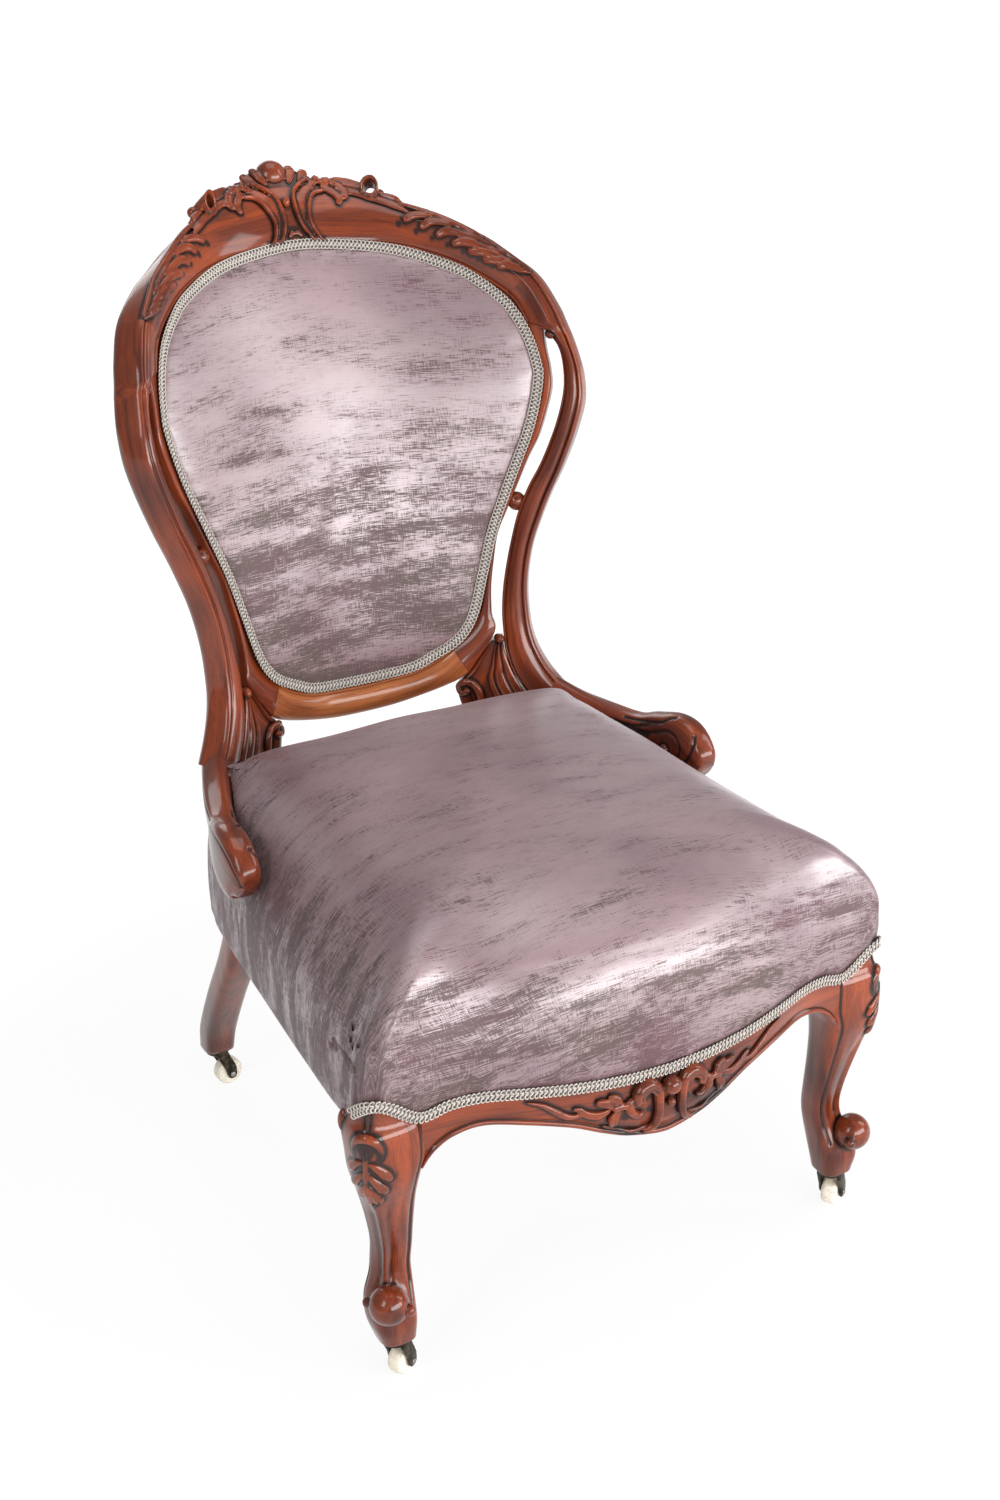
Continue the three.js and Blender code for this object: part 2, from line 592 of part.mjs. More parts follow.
const frontRailSolid = cut(
  join(frontRailBoard, egg(carvingAt, carving.reach, 14, 6)),
  frontLegBar(gap), mirrored(frontLegBar(gap)));

// Side and back rails, and the corner blocks
const box = (width, depth, height, x, y, z) => {
  const form = new THREE.BoxGeometry(width, depth, height);
  form.translate(x, y, z);
  return form;
};
function plank(from, to, thick, low, high) {
  const along = to.clone().sub(from).normalize();
  const across = new THREE.Vector3(-along.y, along.x, 0).multiplyScalar(thick / 2);
  const rings = [from, to].map((end) => [[1, low], [1, high], [-1, high], [-1, low]].map(([side, z]) =>
    new THREE.Vector3(end.x, end.y, 0).addScaledVector(across, side).add(new THREE.Vector3(0, 0, z))));
  return loft(rings);
}
const sideInset = railThick / 2 + railBehindCloth;
const sideFrontAt = new THREE.Vector3(seatHalfWidth - sideInset, -kneeY, 0);
const sideBackAt = new THREE.Vector3(backFootX + 0.18 * backLegWidth, seatBack - backLegWidth * 0.75, 0);
const sideRailTool = plank(
  sideFrontAt, sideBackAt, railThick + gap * 2, railFloor - overrun, railTop + overrun);
const sideRailSolid = cut(
  plank(sideFrontAt, sideBackAt, railThick, railFloor, railTop), frontLegBar(gap), backLegBar(gap));
const backRailY = seatBack - railThick * 0.75;
const backRailHalf = backFootX - railThick / 4;
const backRailAt = new THREE.Vector3(backRailHalf, backRailY, 0);
const backRailFarAt = new THREE.Vector3(-backRailHalf, backRailY, 0);
const backRailSolid = cut(
  plank(backRailFarAt, backRailAt, railThick, railFloor, railTop),
  sideRailTool, mirrored(sideRailTool), backLegBar(gap), mirrored(backLegBar(gap)));
const railInner = (y) => {
  const share = (y - sideFrontAt.y) / (sideBackAt.y - sideFrontAt.y);
  return sideFrontAt.x + (sideBackAt.x - sideFrontAt.x) * share - (railThick / 2) * 1.02;
};
const blockReach = 58;
const blockHeight = railHeight * 0.8;
function prism(corners, low, high) {
  return loft([low, high].map((z) => corners.map(([x, y]) => new THREE.Vector3(x, y, z))));
}
const frontRailRear = planFrontAt(seatHalfWidth * 0.6).y + frontRailThick + gap;
const frontBlockX = railInner(frontRailRear);
const frontBlockSolid = cut(prism([
  [frontBlockX - gap, frontRailRear + gap],
  [railInner(frontRailRear + blockReach) - gap, frontRailRear + blockReach],
  [frontBlockX - blockReach * 1.3, frontRailRear + gap],
], railFloor, railFloor + blockHeight), frontLegBar(gap), frontRailBoard);
const backBlockY = backRailY - railThick / 2 - gap;
const backBlockSolid = cut(prism([
  [railInner(backBlockY) - gap, backBlockY],
  [railInner(backBlockY) - blockReach, backBlockY],
  [railInner(backBlockY - blockReach) - gap, backBlockY - blockReach],
], railFloor, railFloor + blockHeight), backLegBar(gap));

// Webbing, springs and hessian inside the seat
const webTop = railFloor - gap;
const webLow = webTop - webThick;
const webFront = planHalf[0].y + frontRailThick + webWidth * 0.35;
const webBack = backRailY;
const webRowShares = [0.2, 0.4, 0.6, 0.8];
const webHalf = (y) => railInner(y) + railThick / 2;
const strapsAcross = webRowShares.map((share) => {
  const y = webFront + (webBack - webFront) * share;
  return box(webHalf(y) * 2 - webWidth / 5, webWidth, webThick, 0, y, (webTop + webLow) / 2);
});
const webColumnShares = [-0.5, 0, 0.5];
const webMiddle = { y: (webBack + webFront) / 2, z: (webTop + webLow) / 2 };
const strapsAlong = webColumnShares.map((share) => box(
  webWidth, webBack - webFront, webThick, share * railInner(webBack), webMiddle.y, webMiddle.z));
const webSolid = join(...strapsAcross, ...strapsAlong);
const hessianLow = railTop + gap;
const springTop = hessianLow - gap;
const springShares = [[-0.45, 0.27], [0.45, 0.27], [-0.45, 0.71], [0.45, 0.71]];
const springSteps = 8;
class SpringPath extends THREE.Curve {
  getPoint(t) {
    const turn = t * springTurns * 2 * Math.PI;
    const waist = 0.72 + 0.28 * Math.cos(2 * Math.PI * t);
    const radius = (springRadius - springWire / 2) * waist;
    const rise = springWire / 2 + t * (springTop - webTop - springWire - gap);
    return new THREE.Vector3(radius * Math.cos(turn), radius * Math.sin(turn), rise);
  }
}
const wireSides = 5;
const wireSection = new THREE.Shape(Array.from({ length: wireSides }, (_, i) => {
  const turn = (i * 2 * Math.PI) / wireSides;
  return new THREE.Vector2((springWire / 2) * Math.cos(turn), (springWire / 2) * Math.sin(turn));
}));
function spring([xShare, yShare]) {
  const form = new THREE.ExtrudeGeometry(wireSection, {
    steps: springTurns * springSteps, bevelEnabled: false, extrudePath: new SpringPath(),
  });
  form.translate(xShare * railInner(webBack), webFront + (webBack - webFront) * yShare, webTop + gap);
  return form;
}
const hessianFront = frontRailRear + railThick;
const hessianBack = backRailY - railThick * 0.3;
const hessianSolid = cut(prism([
  [railInner(hessianFront), hessianFront],
  [railInner(hessianBack) - railThick / 2, hessianBack],
  [-railInner(hessianBack) + railThick / 2, hessianBack],
  [-railInner(hessianFront), hessianFront],
], hessianLow, hessianLow + clothThick), backLegBar(gap), mirrored(backLegBar(gap)));

// Stuffing and cover of the seat, cut clear of the arms and the back legs
const frameInset = railThick * 0.8;
const seatWell = loft([skirtLevel - overrun, hessianLow + clothThick + gap].map((z) => planLoop.map((p) => {
  const share = 1 - frameInset / seatHalfWidth;
  return new THREE.Vector3(p.x * share, planMiddle.y + (p.y - planMiddle.y) * share, z);
})));
const clearOf = [armBar(gap), scrollEyeTool, backLegBar(gap), frontLegBar(gap)].flatMap(both);
const frontRailTool = loft(frontRailStations.map(([row, side]) => frontRailRing(row, side, gap)));
const railTools = [
  ...both(plank(sideFrontAt, sideBackAt, railThick + gap * 2, railFloor - overrun, railTop + gap)),
  plank(backRailFarAt, backRailAt, railThick + gap * 2, railFloor - overrun, railTop + gap),
];
const stuffingSolid = cut(
  seatForm(clothThick + gap * 2, -overrun), seatWell, frontRailTool, ...railTools, ...clearOf);
const coverSolid = cut(seatForm(0, 0), seatForm(clothThick, overrun), frontRailTool, ...clearOf);

// Braid along the front of the seat
const braidLoop = (lift) => [
  [-gimpWidth / 2, lift], [gimpWidth / 2, lift], [gimpWidth / 2, lift + gimpThick * 0.6],
  [gimpWidth / 5, lift + gimpThick], [-gimpWidth / 5, lift + gimpThick],
  [-gimpWidth / 2, lift + gimpThick * 0.6],
];
const frontCorner = 10;
const seatGimpHalf = planHalf.slice(0, frontCorner);
const seatGimpLine = [
  ...seatGimpHalf.slice(1).reverse().map(acrossTo), ...seatGimpHalf];
const seatGimpBar = bar(seatGimpLine.map((at, i) => {
  const before = seatGimpLine[Math.max(i - 1, 0)];
  const after = seatGimpLine[Math.min(i + 1, seatGimpLine.length - 1)];
  const along = after.clone().sub(before).normalize();
  const out = new THREE.Vector3(along.y, -along.x, 0).normalize();
  const up = new THREE.Vector3().crossVectors(out, along).normalize();
  return { at: at.clone(), u: up, v: out, loop: braidLoop(gap * 5) };
}));
const seatGimpSolid = cut(seatGimpBar, frontLegBar(gap / 2), mirrored(frontLegBar(gap / 2)));

// Back pad: rings from the gimp's line in towards the middle
const gimpShares = [
  [0, 0.062], [0.22, 0.07], [0.328, 0.092], [0.432, 0.124], [0.5, 0.174], [0.556, 0.266], [0.612, 0.36],
  [0.696, 0.466], [0.78, 0.57], [0.828, 0.66], [0.832, 0.696], [0.812, 0.756], [0.76, 0.814], [0.66, 0.862],
  [0.58, 0.884], [0.416, 0.912], [0.232, 0.926], [0, 0.934],
];
const gimpPath = new THREE.CatmullRomCurve3(
  [...gimpShares, ...gimpShares.slice(1, -1).reverse().map(([x, z]) => [-x, z])]
    .map(([x, z]) => new THREE.Vector3(x * backHalfWidth, 0, armLevel + z * backRise)), true, "centripetal");
const padSides = 30;
const gimpLine = gimpPath.getSpacedPoints(padSides).slice(0, padSides);
const padMiddle = new THREE.Vector3(0, 0, armLevel + 0.56 * backRise);
const inwards = gimpLine.map((p, i) => {
  const before = gimpLine[(i + padSides - 1) % padSides];
  const after = gimpLine[(i + 1) % padSides];
  const along = after.clone().sub(before).normalize();
  const inward = new THREE.Vector3(-along.z, 0, along.x);
  return inward.dot(padMiddle.clone().sub(p)) < 0 ? inward.negate() : inward;
});
// A ring at a share of the way from the middle, the gimp's line drawn in by an inset, lifted off the back
function padRing(share, inset, lift) {
  return gimpLine.map((p, i) => {
    const edge = p.clone().addScaledVector(inwards[i], inset);
    const at = padMiddle.clone().lerp(edge, share);
    return new THREE.Vector3(at.x, backAt(at.x, at.z), at.z).addScaledVector(backNormal(at.x, at.z), lift);
  });
}
const crownAt = (share) => padCrown * Math.sqrt(Math.max(1 - share ** 2.6, 0));
const padEdge = gimpWidth / 2 + gap;
const coverEdge = -gimpWidth / 7;
const crownShares = [0.94, 0.84, 0.66, 0.4, 0.1];
const skin = (lift) => [
  padRing(1, coverEdge, lift), padRing(1, padEdge, lift),
  ...crownShares.map((share) => padRing(share, padEdge, lift + crownAt(share))),
];
const backCoverSolid = loft([...skin(layGap + clothThick).reverse(), ...skin(layGap)]);
const sheetShares = [0.1, 0.4, 0.7, 1];
const sheetLap = 3;
const sheetInset = tackWidth + sheetLap;
const sheetForm = (inset, low) => loft([
  ...sheetShares.map((share) => padRing(share, inset, low + clothThick)),
  ...sheetShares.slice().reverse().map((share) => padRing(share, inset, low)),
]);
const backHessianSolid = sheetForm(sheetInset, -clothThick);
const outsidePanelSolid = cut(
  sheetForm(tackWidth - sheetLap, -slipDepth * 0.9),
  crestBoard(gap), lowerBoard(gap), ...both(slipBoard(gap)));
const backStuffingSolid = loft([
  ...sheetShares.map((share) => padRing(share, sheetInset, share < 1 ? gap : layGap)),
  padRing(crownShares[0], padEdge, layGap),
  ...crownShares.map((share) => padRing(share, padEdge, layGap + crownAt(share) - gap)),
]);
const gimpLift = layGap + clothThick + gap * 2;
const backGimpSolid = loft(gimpLine.map((p, i) => braidLoop(gimpLift).map(([a, b]) => {
  const x = p.x - inwards[i].x * a;
  const z = p.z - inwards[i].z * a;
  return new THREE.Vector3(x, backAt(x, z), z).addScaledVector(backNormal(x, z), b);
})), true);

// Black cloth tacked under the seat
const dustTop = webLow - gap;
const dustThick = 1;
const dustSolid = cut(prism([
  [railInner(frontRailRear) + railThick / 2, frontRailRear + webWidth / 4],
  [railInner(webBack) + railThick / 2, webBack],
  [-railInner(webBack) - railThick / 2, webBack],
  [-railInner(frontRailRear) - railThick / 2, frontRailRear + webWidth / 4],
], dustTop - dustThick, dustTop), ...both(frontLegBar(gap)), ...both(backLegBar(gap)));

// Castors: plate with its pivot pin, horn, axle pin and wheel, each about its own pivot
const wheelSides = 20;
const axleZ = wheelRadius * Math.cos(Math.PI / wheelSides);
const plateLow = legFoot - gap - castorPlateThick;
const hornTop = plateLow - gap;
const hornCrownThick = 4;
const hornCrownLow = hornTop - hornCrownThick;
const lathe = (profile, sides) => {
  const points = profile.map(([r, z]) => new THREE.Vector2(r, z));
  return new THREE.LatheGeometry(points, sides).rotateX(Math.PI / 2);
};
const plateForm = () => lathe([
  [0, plateLow - pivotLength], [pivotRadius, plateLow - pivotLength], [pivotRadius, plateLow],
  [castorPlateRadius, plateLow], [castorPlateRadius, plateLow + castorPlateThick],
  [0, plateLow + castorPlateThick],
], 12);
const hornHalf = wheelWidth / 2 + gap * 2;
const hornWidth = 12;
const axleProud = 0.5;
function hornForm() {
  const crownRadius = hornHalf + hornWall;
  const crown = lathe([
    [pivotRadius + gap, hornCrownLow], [crownRadius, hornCrownLow],
    [crownRadius, hornTop], [pivotRadius + gap, hornTop], [pivotRadius + gap, hornCrownLow],
  ], 12);
  const cheeks = [-1, 1].map((side) => {
    const outline = new THREE.Shape([
      [-hornWidth / 2, hornTop], [hornWidth / 2, hornTop],
      [castorTrail + hornWidth * 0.42, axleZ + hornWidth * 0.2],
      [castorTrail + hornWidth * 0.3, axleZ - hornWidth * 0.42],
      [castorTrail - hornWidth * 0.3, axleZ - hornWidth * 0.42], [castorTrail - hornWidth * 0.5, axleZ],
    ].map(([x, z]) => new THREE.Vector2(x, z)));
    const form = new THREE.ExtrudeGeometry(outline, { depth: hornWall, bevelEnabled: false });
    form.rotateX(Math.PI / 2);
    form.translate(0, side > 0 ? hornHalf + hornWall : -hornHalf, 0);
    return form;
  });
  const bore = new THREE.CylinderGeometry(axleRadius + gap, axleRadius + gap, wheelWidth * 3, 8);
  bore.translate(castorTrail, 0, axleZ);
  return cut(join(crown, ...cheeks), bore);
}
const axleForm = () => {
  const form = new THREE.CylinderGeometry(axleRadius, axleRadius, 2 * (hornHalf + hornWall + axleProud), 8);
  form.translate(castorTrail, 0, axleZ);
  return form;
};
function wheelForm() {
  const shoulder = wheelWidth * 0.2;
  const bore = axleRadius + gap;
  const form = new THREE.LatheGeometry([
    [bore, -wheelWidth / 2], [wheelRadius * 0.8, -wheelWidth / 2], [wheelRadius, -wheelWidth / 2 + shoulder],
    [wheelRadius, wheelWidth / 2 - shoulder], [wheelRadius * 0.8, wheelWidth / 2], [bore, wheelWidth / 2],
    [bore, -wheelWidth / 2],
  ].map(([r, y]) => new THREE.Vector2(r, y)), wheelSides);
  form.rotateY(Math.PI / wheelSides);
  form.translate(castorTrail, 0, axleZ);
  return form;
}

const chair = new THREE.Group();
function add(name, geometry, material) {
  const mesh = new THREE.Mesh(merged(geometry), material);
  mesh.name = name;
  chair.add(mesh);
}
function addPair(name, geometry, material) {
  add(`${name}_right`, geometry, material);
  add(`${name}_left`, mirrored(geometry), material);
}

add("crest_rail", crestSolid, walnut);
addPair("outer_stile", stileSolid, walnut);
addPair("inner_stile", slipSolid, walnut);
add("back_lower_rail", lowerSolid, walnut);
addPair("hip_bracket", bracketSolid, walnut);
addPair("slot_link", linkSolid, walnut);
addPair("arm", armSolid, walnut);
addPair("front_leg", frontLegSolid, walnut);
addPair("back_leg", backLegSolid, walnut);
add("front_rail", frontRailSolid, walnut);
addPair("side_rail", sideRailSolid, beech);
add("back_rail", backRailSolid, beech);
addPair("front_corner_block", frontBlockSolid, beech);
addPair("back_corner_block", backBlockSolid, beech);
add("seat_webbing", webSolid, hessian);
springShares.forEach((place, i) => add(`seat_spring_${i + 1}`, spring(place), steel));
add("spring_hessian", hessianSolid, hessian);
add("seat_stuffing", stuffingSolid, horsehair);
add("seat_cover", coverSolid, velvet);
add("seat_gimp", seatGimpSolid, braid);
add("dust_cover", dustSolid, cambric);
add("back_hessian", backHessianSolid, hessian);
add("back_stuffing", backStuffingSolid, horsehair);
add("back_cover", backCoverSolid, velvet);
add("back_outside_cover", outsidePanelSolid, velvet);
add("back_gimp", backGimpSolid, braid);

const frontFoot = frontLegFrames[frontLegFrames.length - 1].at;
const castorPlaces = [
  { name: "front_right", x: frontFoot.x, y: frontFoot.y, turn: 32 },
  { name: "front_left", x: -frontFoot.x, y: frontFoot.y, turn: 30 },
  { name: "back_right", x: backFootX, y: backFootY, turn: 15 },
  { name: "back_left", x: -backFootX, y: backFootY, turn: 5 },
];
for (const { name, x, y, turn } of castorPlaces) {
  const castor = new THREE.Group();
  castor.position.set(x, y, 0);
  castor.rotation.z = THREE.MathUtils.degToRad(turn);
  const pieces = [
    ["castor_plate", plateForm(), castorBrass], ["castor_horn", hornForm(), castorBrass],
    ["castor_axle", axleForm(), steel], ["castor_wheel", wheelForm(), ceramic],
  ];
  for (const [piece, geometry, material] of pieces) {
    const mesh = new THREE.Mesh(merged(geometry), material);
    mesh.name = `${piece}_${name}`;
    castor.add(mesh);
  }
  chair.add(castor);
}

// The origin lies on the floor under the middle of the whole chair
const bounds = new THREE.Box3().setFromObject(chair, true);
const middle = bounds.getCenter(new THREE.Vector3());
chair.position.set(-middle.x, -middle.y, 0);

export default chair;
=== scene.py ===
# %% [markdown]
# # A balloon back chair in carved walnut and crushed velvet
# This lesson dresses a low Victorian chair. The CAD frame is loaded first, and every piece below is
# built in metres around it: polished show wood, carving, stuffed seat and back, braid and castors.

# %% The frame
import math
import bpy
import numpy as np
from mathutils import Matrix, Vector
from mathutils.bvhtree import BVHTree
from mathutils.kdtree import KDTree


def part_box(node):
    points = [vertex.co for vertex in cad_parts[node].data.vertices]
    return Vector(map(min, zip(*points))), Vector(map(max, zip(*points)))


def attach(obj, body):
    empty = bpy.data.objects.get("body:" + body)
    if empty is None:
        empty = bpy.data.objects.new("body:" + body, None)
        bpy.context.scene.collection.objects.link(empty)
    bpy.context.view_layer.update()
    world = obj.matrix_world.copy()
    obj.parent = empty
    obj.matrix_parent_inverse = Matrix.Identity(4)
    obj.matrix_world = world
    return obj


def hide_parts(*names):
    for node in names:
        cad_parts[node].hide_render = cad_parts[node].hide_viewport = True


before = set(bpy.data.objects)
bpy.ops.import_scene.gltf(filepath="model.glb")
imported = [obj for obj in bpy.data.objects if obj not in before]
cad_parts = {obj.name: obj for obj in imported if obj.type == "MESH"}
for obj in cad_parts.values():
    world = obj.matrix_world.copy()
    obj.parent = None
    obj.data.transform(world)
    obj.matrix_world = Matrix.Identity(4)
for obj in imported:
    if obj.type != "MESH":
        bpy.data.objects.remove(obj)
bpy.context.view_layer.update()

scene = bpy.context.scene
MM = 0.001
HULL = "chair_frame"

# %% [markdown]
# ## Small tools
# Every curve on this chair is drawn through a few points, so a Catmull-Rom spline comes first. A closed
# solid is a stack of rings with a fan at each end, and each piece keeps a grain coordinate: how far along
# the wood, and where across it, a point lies. The finish reads that, so the figure follows the piece.


# %% Splines
def spline(points, per=8, closed=False):
    """Points along a Catmull-Rom curve through the given ones."""
    points = np.array(points, float)
    if closed:
        padded = np.vstack([points[-1], points, points[:2]])
    else:
        padded = np.vstack([2 * points[0] - points[1], points, 2 * points[-1] - points[-2]])
    out = []
    for a, b, c, d in zip(padded, padded[1:], padded[2:], padded[3:]):
        for t in np.arange(per) / per:
            out.append(0.5 * (2 * b + (c - a) * t + (2 * a - 5 * b + 4 * c - d) * t ** 2
                              + (3 * b - a - 3 * c + d) * t ** 3))
    if not closed:
        out.append(points[-1])
    return np.array(out)


def spaced(points, count, closed=False):
    """A polyline walked in equal steps."""
    points = np.array(points, float)
    if closed:
        points = np.vstack([points, points[:1]])
    steps = np.linalg.norm(np.diff(points, axis=0), axis=1)
    along = np.concatenate([[0], np.cumsum(steps)])
    wanted = np.linspace(0, along[-1], count + 1)[:-1] if closed else np.linspace(0, along[-1], count)
    return np.stack([np.interp(wanted, along, points[:, i]) for i in range(points.shape[1])], 1)


def unit(v):
    v = np.asarray(v, float)
    return v / np.maximum(np.linalg.norm(v, axis=-1, keepdims=True), 1e-12)


print("a spline through 3 points has", len(spline([(0, 0), (1, 1), (2, 0)])), "points")


# %% Solids made of rings
def rings_solid(rings, grain=None, joined=False):
    """Vertices, faces and grain of a closed solid through rings of equal length."""
    rings = np.asarray(rings, float)
    count, around = rings.shape[:2]
    verts = rings.reshape(-1, 3)
    grain = verts if grain is None else np.asarray(grain, float).reshape(-1, 3)
    faces = []
    for i in range(count if joined else count - 1):
        low = i * around
        high = ((i + 1) % count) * around
        for j in range(around):
            k = (j + 1) % around
            faces.append((low + j, low + k, high + k, high + j))
    if not joined:
        for first, flip in ((0, True), ((count - 1) * around, False)):
            middle = len(verts)
            verts = np.vstack([verts, verts[first:first + around].mean(0)])
            grain = np.vstack([grain, grain[first:first + around].mean(0)])
            for j in range(around):
                edge = (first + j, first + (j + 1) % around)
                faces.append((*(edge[::-1] if flip else edge), middle))
    return verts, faces, grain


def signed_volume(verts, faces):
    total = 0.0
    for f in faces:
        a = verts[f[0]]
        for i in range(1, len(f) - 1):
            total += np.dot(a, np.cross(verts[f[i]], verts[f[i + 1]]))
    return total


def outward(solid):
    verts, faces, grain = solid
    if signed_volume(verts, faces) < 0:
        faces = [tuple(reversed(f)) for f in faces]
    return verts, faces, grain


def together(*solids):
    verts, faces, grain, base = [], [], [], 0
    for v, f, g in map(outward, solids):
        verts.append(v)
        grain.append(g)
        faces += [tuple(i + base for i in face) for face in f]
        base += len(v)
    return np.vstack(verts), faces, np.vstack(grain)


def mirrored(solid):
    verts, faces, grain = solid
    return verts * (-1, 1, 1), [tuple(reversed(f)) for f in faces], grain * (-1, 1, 1)


wedge = outward(rings_solid([[(0, 0, 0), (1, 0, 0), (1, 1, 0)], [(0, 0, 1), (1, 0, 1), (1, 1, 1)]]))
wedge_volume = signed_volume(*wedge[:2]) / 6
print("a wedge of 2 rings has", len(wedge[1]), "faces and holds", round(wedge_volume, 2), "m3")


# %% Meshes and what is noted on them
def note_points(mesh, name, values):
    """Stores a value, or a vector, at each point of a mesh."""
    kind, key = ("FLOAT_VECTOR", "vector") if np.ndim(values) > 1 else ("FLOAT", "value")
    note = mesh.attributes.get(name)
    if note is None:
        note = mesh.attributes.new(name, kind, "POINT")
    note.data.foreach_set(key, np.asarray(values, np.float32).ravel())


def link_mesh(name, verts, faces):
    """A smooth object in the scene."""
    mesh = bpy.data.meshes.new(name)
    mesh.from_pydata(verts.tolist(), [], faces)
    mesh.update()
    mesh.shade_smooth()
    made = bpy.data.objects.new(name, mesh)
    scene.collection.objects.link(made)
    return made


def mesh_object(name, solid):
    verts, faces, grain = outward(solid)
    made = link_mesh(name, verts, faces)
    note_points(made.data, "grain", grain)
    return made


def evaluated_mesh(made):
    """What an object's modifiers make of it, as a mesh of its own."""
    return bpy.data.meshes.new_from_object(made.evaluated_get(bpy.context.evaluated_depsgraph_get()))


def remeshed(made, voxel):
    modifier = made.modifiers.new("even", "REMESH")
    modifier.mode = "VOXEL"
    modifier.voxel_size = voxel
    return evaluated_mesh(made)


def corners(mesh):
    out = np.zeros(len(mesh.vertices) * 3)
    mesh.vertices.foreach_get("co", out)
    return out.reshape(-1, 3)


def facings(mesh):
    out = np.zeros(len(mesh.vertices) * 3)
    mesh.vertices.foreach_get("normal", out)
    return out.reshape(-1, 3)


def edge_pairs(mesh):
    out = np.zeros(len(mesh.edges) * 2, int)
    mesh.edges.foreach_get("vertices", out)
    return out.reshape(-1, 2)


def averaged(values, pairs, rounds=1, share=0.5):
    """Values at the vertices, smoothed over their neighbours."""
    counts = np.zeros(len(values))
    np.add.at(counts, pairs[:, 0], 1)
    np.add.at(counts, pairs[:, 1], 1)
    shape = (-1,) + (1,) * (values.ndim - 1)
    for _ in range(rounds):
        sums = np.zeros_like(values)
        np.add.at(sums, pairs[:, 0], values[pairs[:, 1]])
        np.add.at(sums, pairs[:, 1], values[pairs[:, 0]])
        values = values * (1 - share) + sums / np.maximum(counts, 1).reshape(shape) * share
    return values


def normals_of(verts, faces):
    quads = np.array([face if len(face) == 4 else (*face, face[2]) for face in faces])
    a, b, c, d = (verts[quads[:, i]] for i in range(4))
    turned = np.cross(c - a, d - b)
    out = np.zeros_like(verts)
    for i in range(4):
        np.add.at(out, quads[:, i], turned)
    return unit(out)


# %% Near places, scored lines and hollows
def near_points(points):
    """A search tree over points."""
    tree = KDTree(len(points))
    for i, place in enumerate(points):
        tree.insert(place, i)
    tree.balance()
    return tree


def gaps_to(verts, points):
    tree = near_points(points)
    return np.array([tree.find(place)[2] for place in verts])


def scored(solid, lines=(), shaded_pits=()):
    """Cuts a groove along each (points, depth, half width), and says how much painted shade each place gets, in its
    groove or round a given spot.
    """
    verts, faces, grain = outward(solid)
    normals, dark = normals_of(verts, faces), np.zeros(len(verts))
    for points, depth, half in lines:
        gaps = gaps_to(verts, spaced(points, max(len(points) * 2, 120)))
        verts = verts - normals * (np.exp(-(gaps / half) ** 2) * depth)[:, None]
        dark = np.maximum(dark, np.exp(-(gaps / (half * 1.1)) ** 2))
    for place, radius in shaded_pits:
        gaps = np.linalg.norm(verts - np.array(place), axis=1)
        dark = np.maximum(dark, np.exp(-(gaps / radius) ** 4))
    return (verts, faces, grain), dark


def note_hollows(made, dark=None, rounds=(3, 12), strength=2.2):
    """Stores how far each point lies in a hollow, from 0 on an edge, past 0.5 on the flat, to 1, raised by any
    painted shade given.
    """
    mesh = made.data
    pairs = edge_pairs(mesh)
    places, normals = corners(mesh), facings(mesh)
    lengths = np.zeros(len(places))
    counts = np.zeros(len(places))
    edges = np.linalg.norm(places[pairs[:, 0]] - places[pairs[:, 1]], axis=1)
    for end in (0, 1):
        np.add.at(lengths, pairs[:, end], edges)
        np.add.at(counts, pairs[:, end], 1)
    lengths = lengths / np.maximum(counts, 1)
    depth = np.zeros(len(places))
    for steps in rounds:
        pulled = averaged(places, pairs, steps)
        depth += ((pulled - places) * normals).sum(1) / (lengths * steps ** 0.5)
    hollow = np.clip(0.5 + averaged(depth, pairs, 1) * strength, 0, 1)
    # Painted shade of grooves, seams and spots deepens the hollow value, which the wood turns dark.
    if dark is not None:
        hollow = np.maximum(hollow, 0.5 + 0.5 * dark)
    note_points(mesh, "hollow", hollow)


square_gap = gaps_to([(0, 0, 0)], [(0.5, 0.5, 0)])
print("the gap from a corner of a unit square to its middle is", square_gap.round(3))


# %% Handing a piece over
def finish_piece(made, material, body=HULL, nodes=()):
    made.data.materials.clear()
    made.data.materials.append(material)
    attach(made, body)
    if nodes:
        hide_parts(*nodes)
    return made


def as_drawn(solid):
    return solid


both_sides = (("right", as_drawn, 1), ("left", mirrored, -1))
print("left and right, as one faces the chair, are made as", [label for label, _, _ in both_sides])

# %% [markdown]
# ## Where the photograph was taken from
# A camera was fitted to mirror pairs of points on the chair. The lens is close to normal, and it looks
# down on the front corner that is on the left as one faces the chair.

# %% Camera and light
castor_behind_datum = 0.207
back_plate_low, back_plate_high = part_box("castor_plate_back_right")
seat_datum = (back_plate_low.y + back_plate_high.y) / 2 - castor_behind_datum
camera_data = bpy.data.cameras.new("studio_camera")
camera_data.lens = 48.67
camera_data.sensor_width = 36
camera_data.clip_start = 0.05
camera = bpy.data.objects.new("studio_camera", camera_data)
camera_place = Vector((-0.8688, -1.5645 + seat_datum, 1.2695))
camera_right = Vector((0.8654, -0.5011, 0.0)).normalized()
camera_back = Vector((-0.4547, -0.7853, 0.4203)).normalized()
camera_up = camera_back.cross(camera_right)
camera_turn = Matrix((camera_right, camera_up, camera_back)).transposed()
camera.matrix_world = Matrix.Translation(camera_place) @ camera_turn.to_4x4()
scene.collection.objects.link(camera)
scene.camera = camera
scene.view_settings.view_transform = "Standard"
print("camera at", [round(c, 3) for c in camera_place], "with a lens of", round(camera_data.lens, 1), "mm")


# %% Light
def softbox(name, place, aim, size, power):
    lamp = bpy.data.lights.new(name, "AREA")
    lamp.shape = "RECTANGLE"
    lamp.size, lamp.size_y = size
    lamp.energy = power
    made = bpy.data.objects.new(name, lamp)
    made.location = place
    made.rotation_euler = (Vector(aim) - Vector(place)).to_track_quat("-Z", "Y").to_euler()
    scene.collection.objects.link(made)


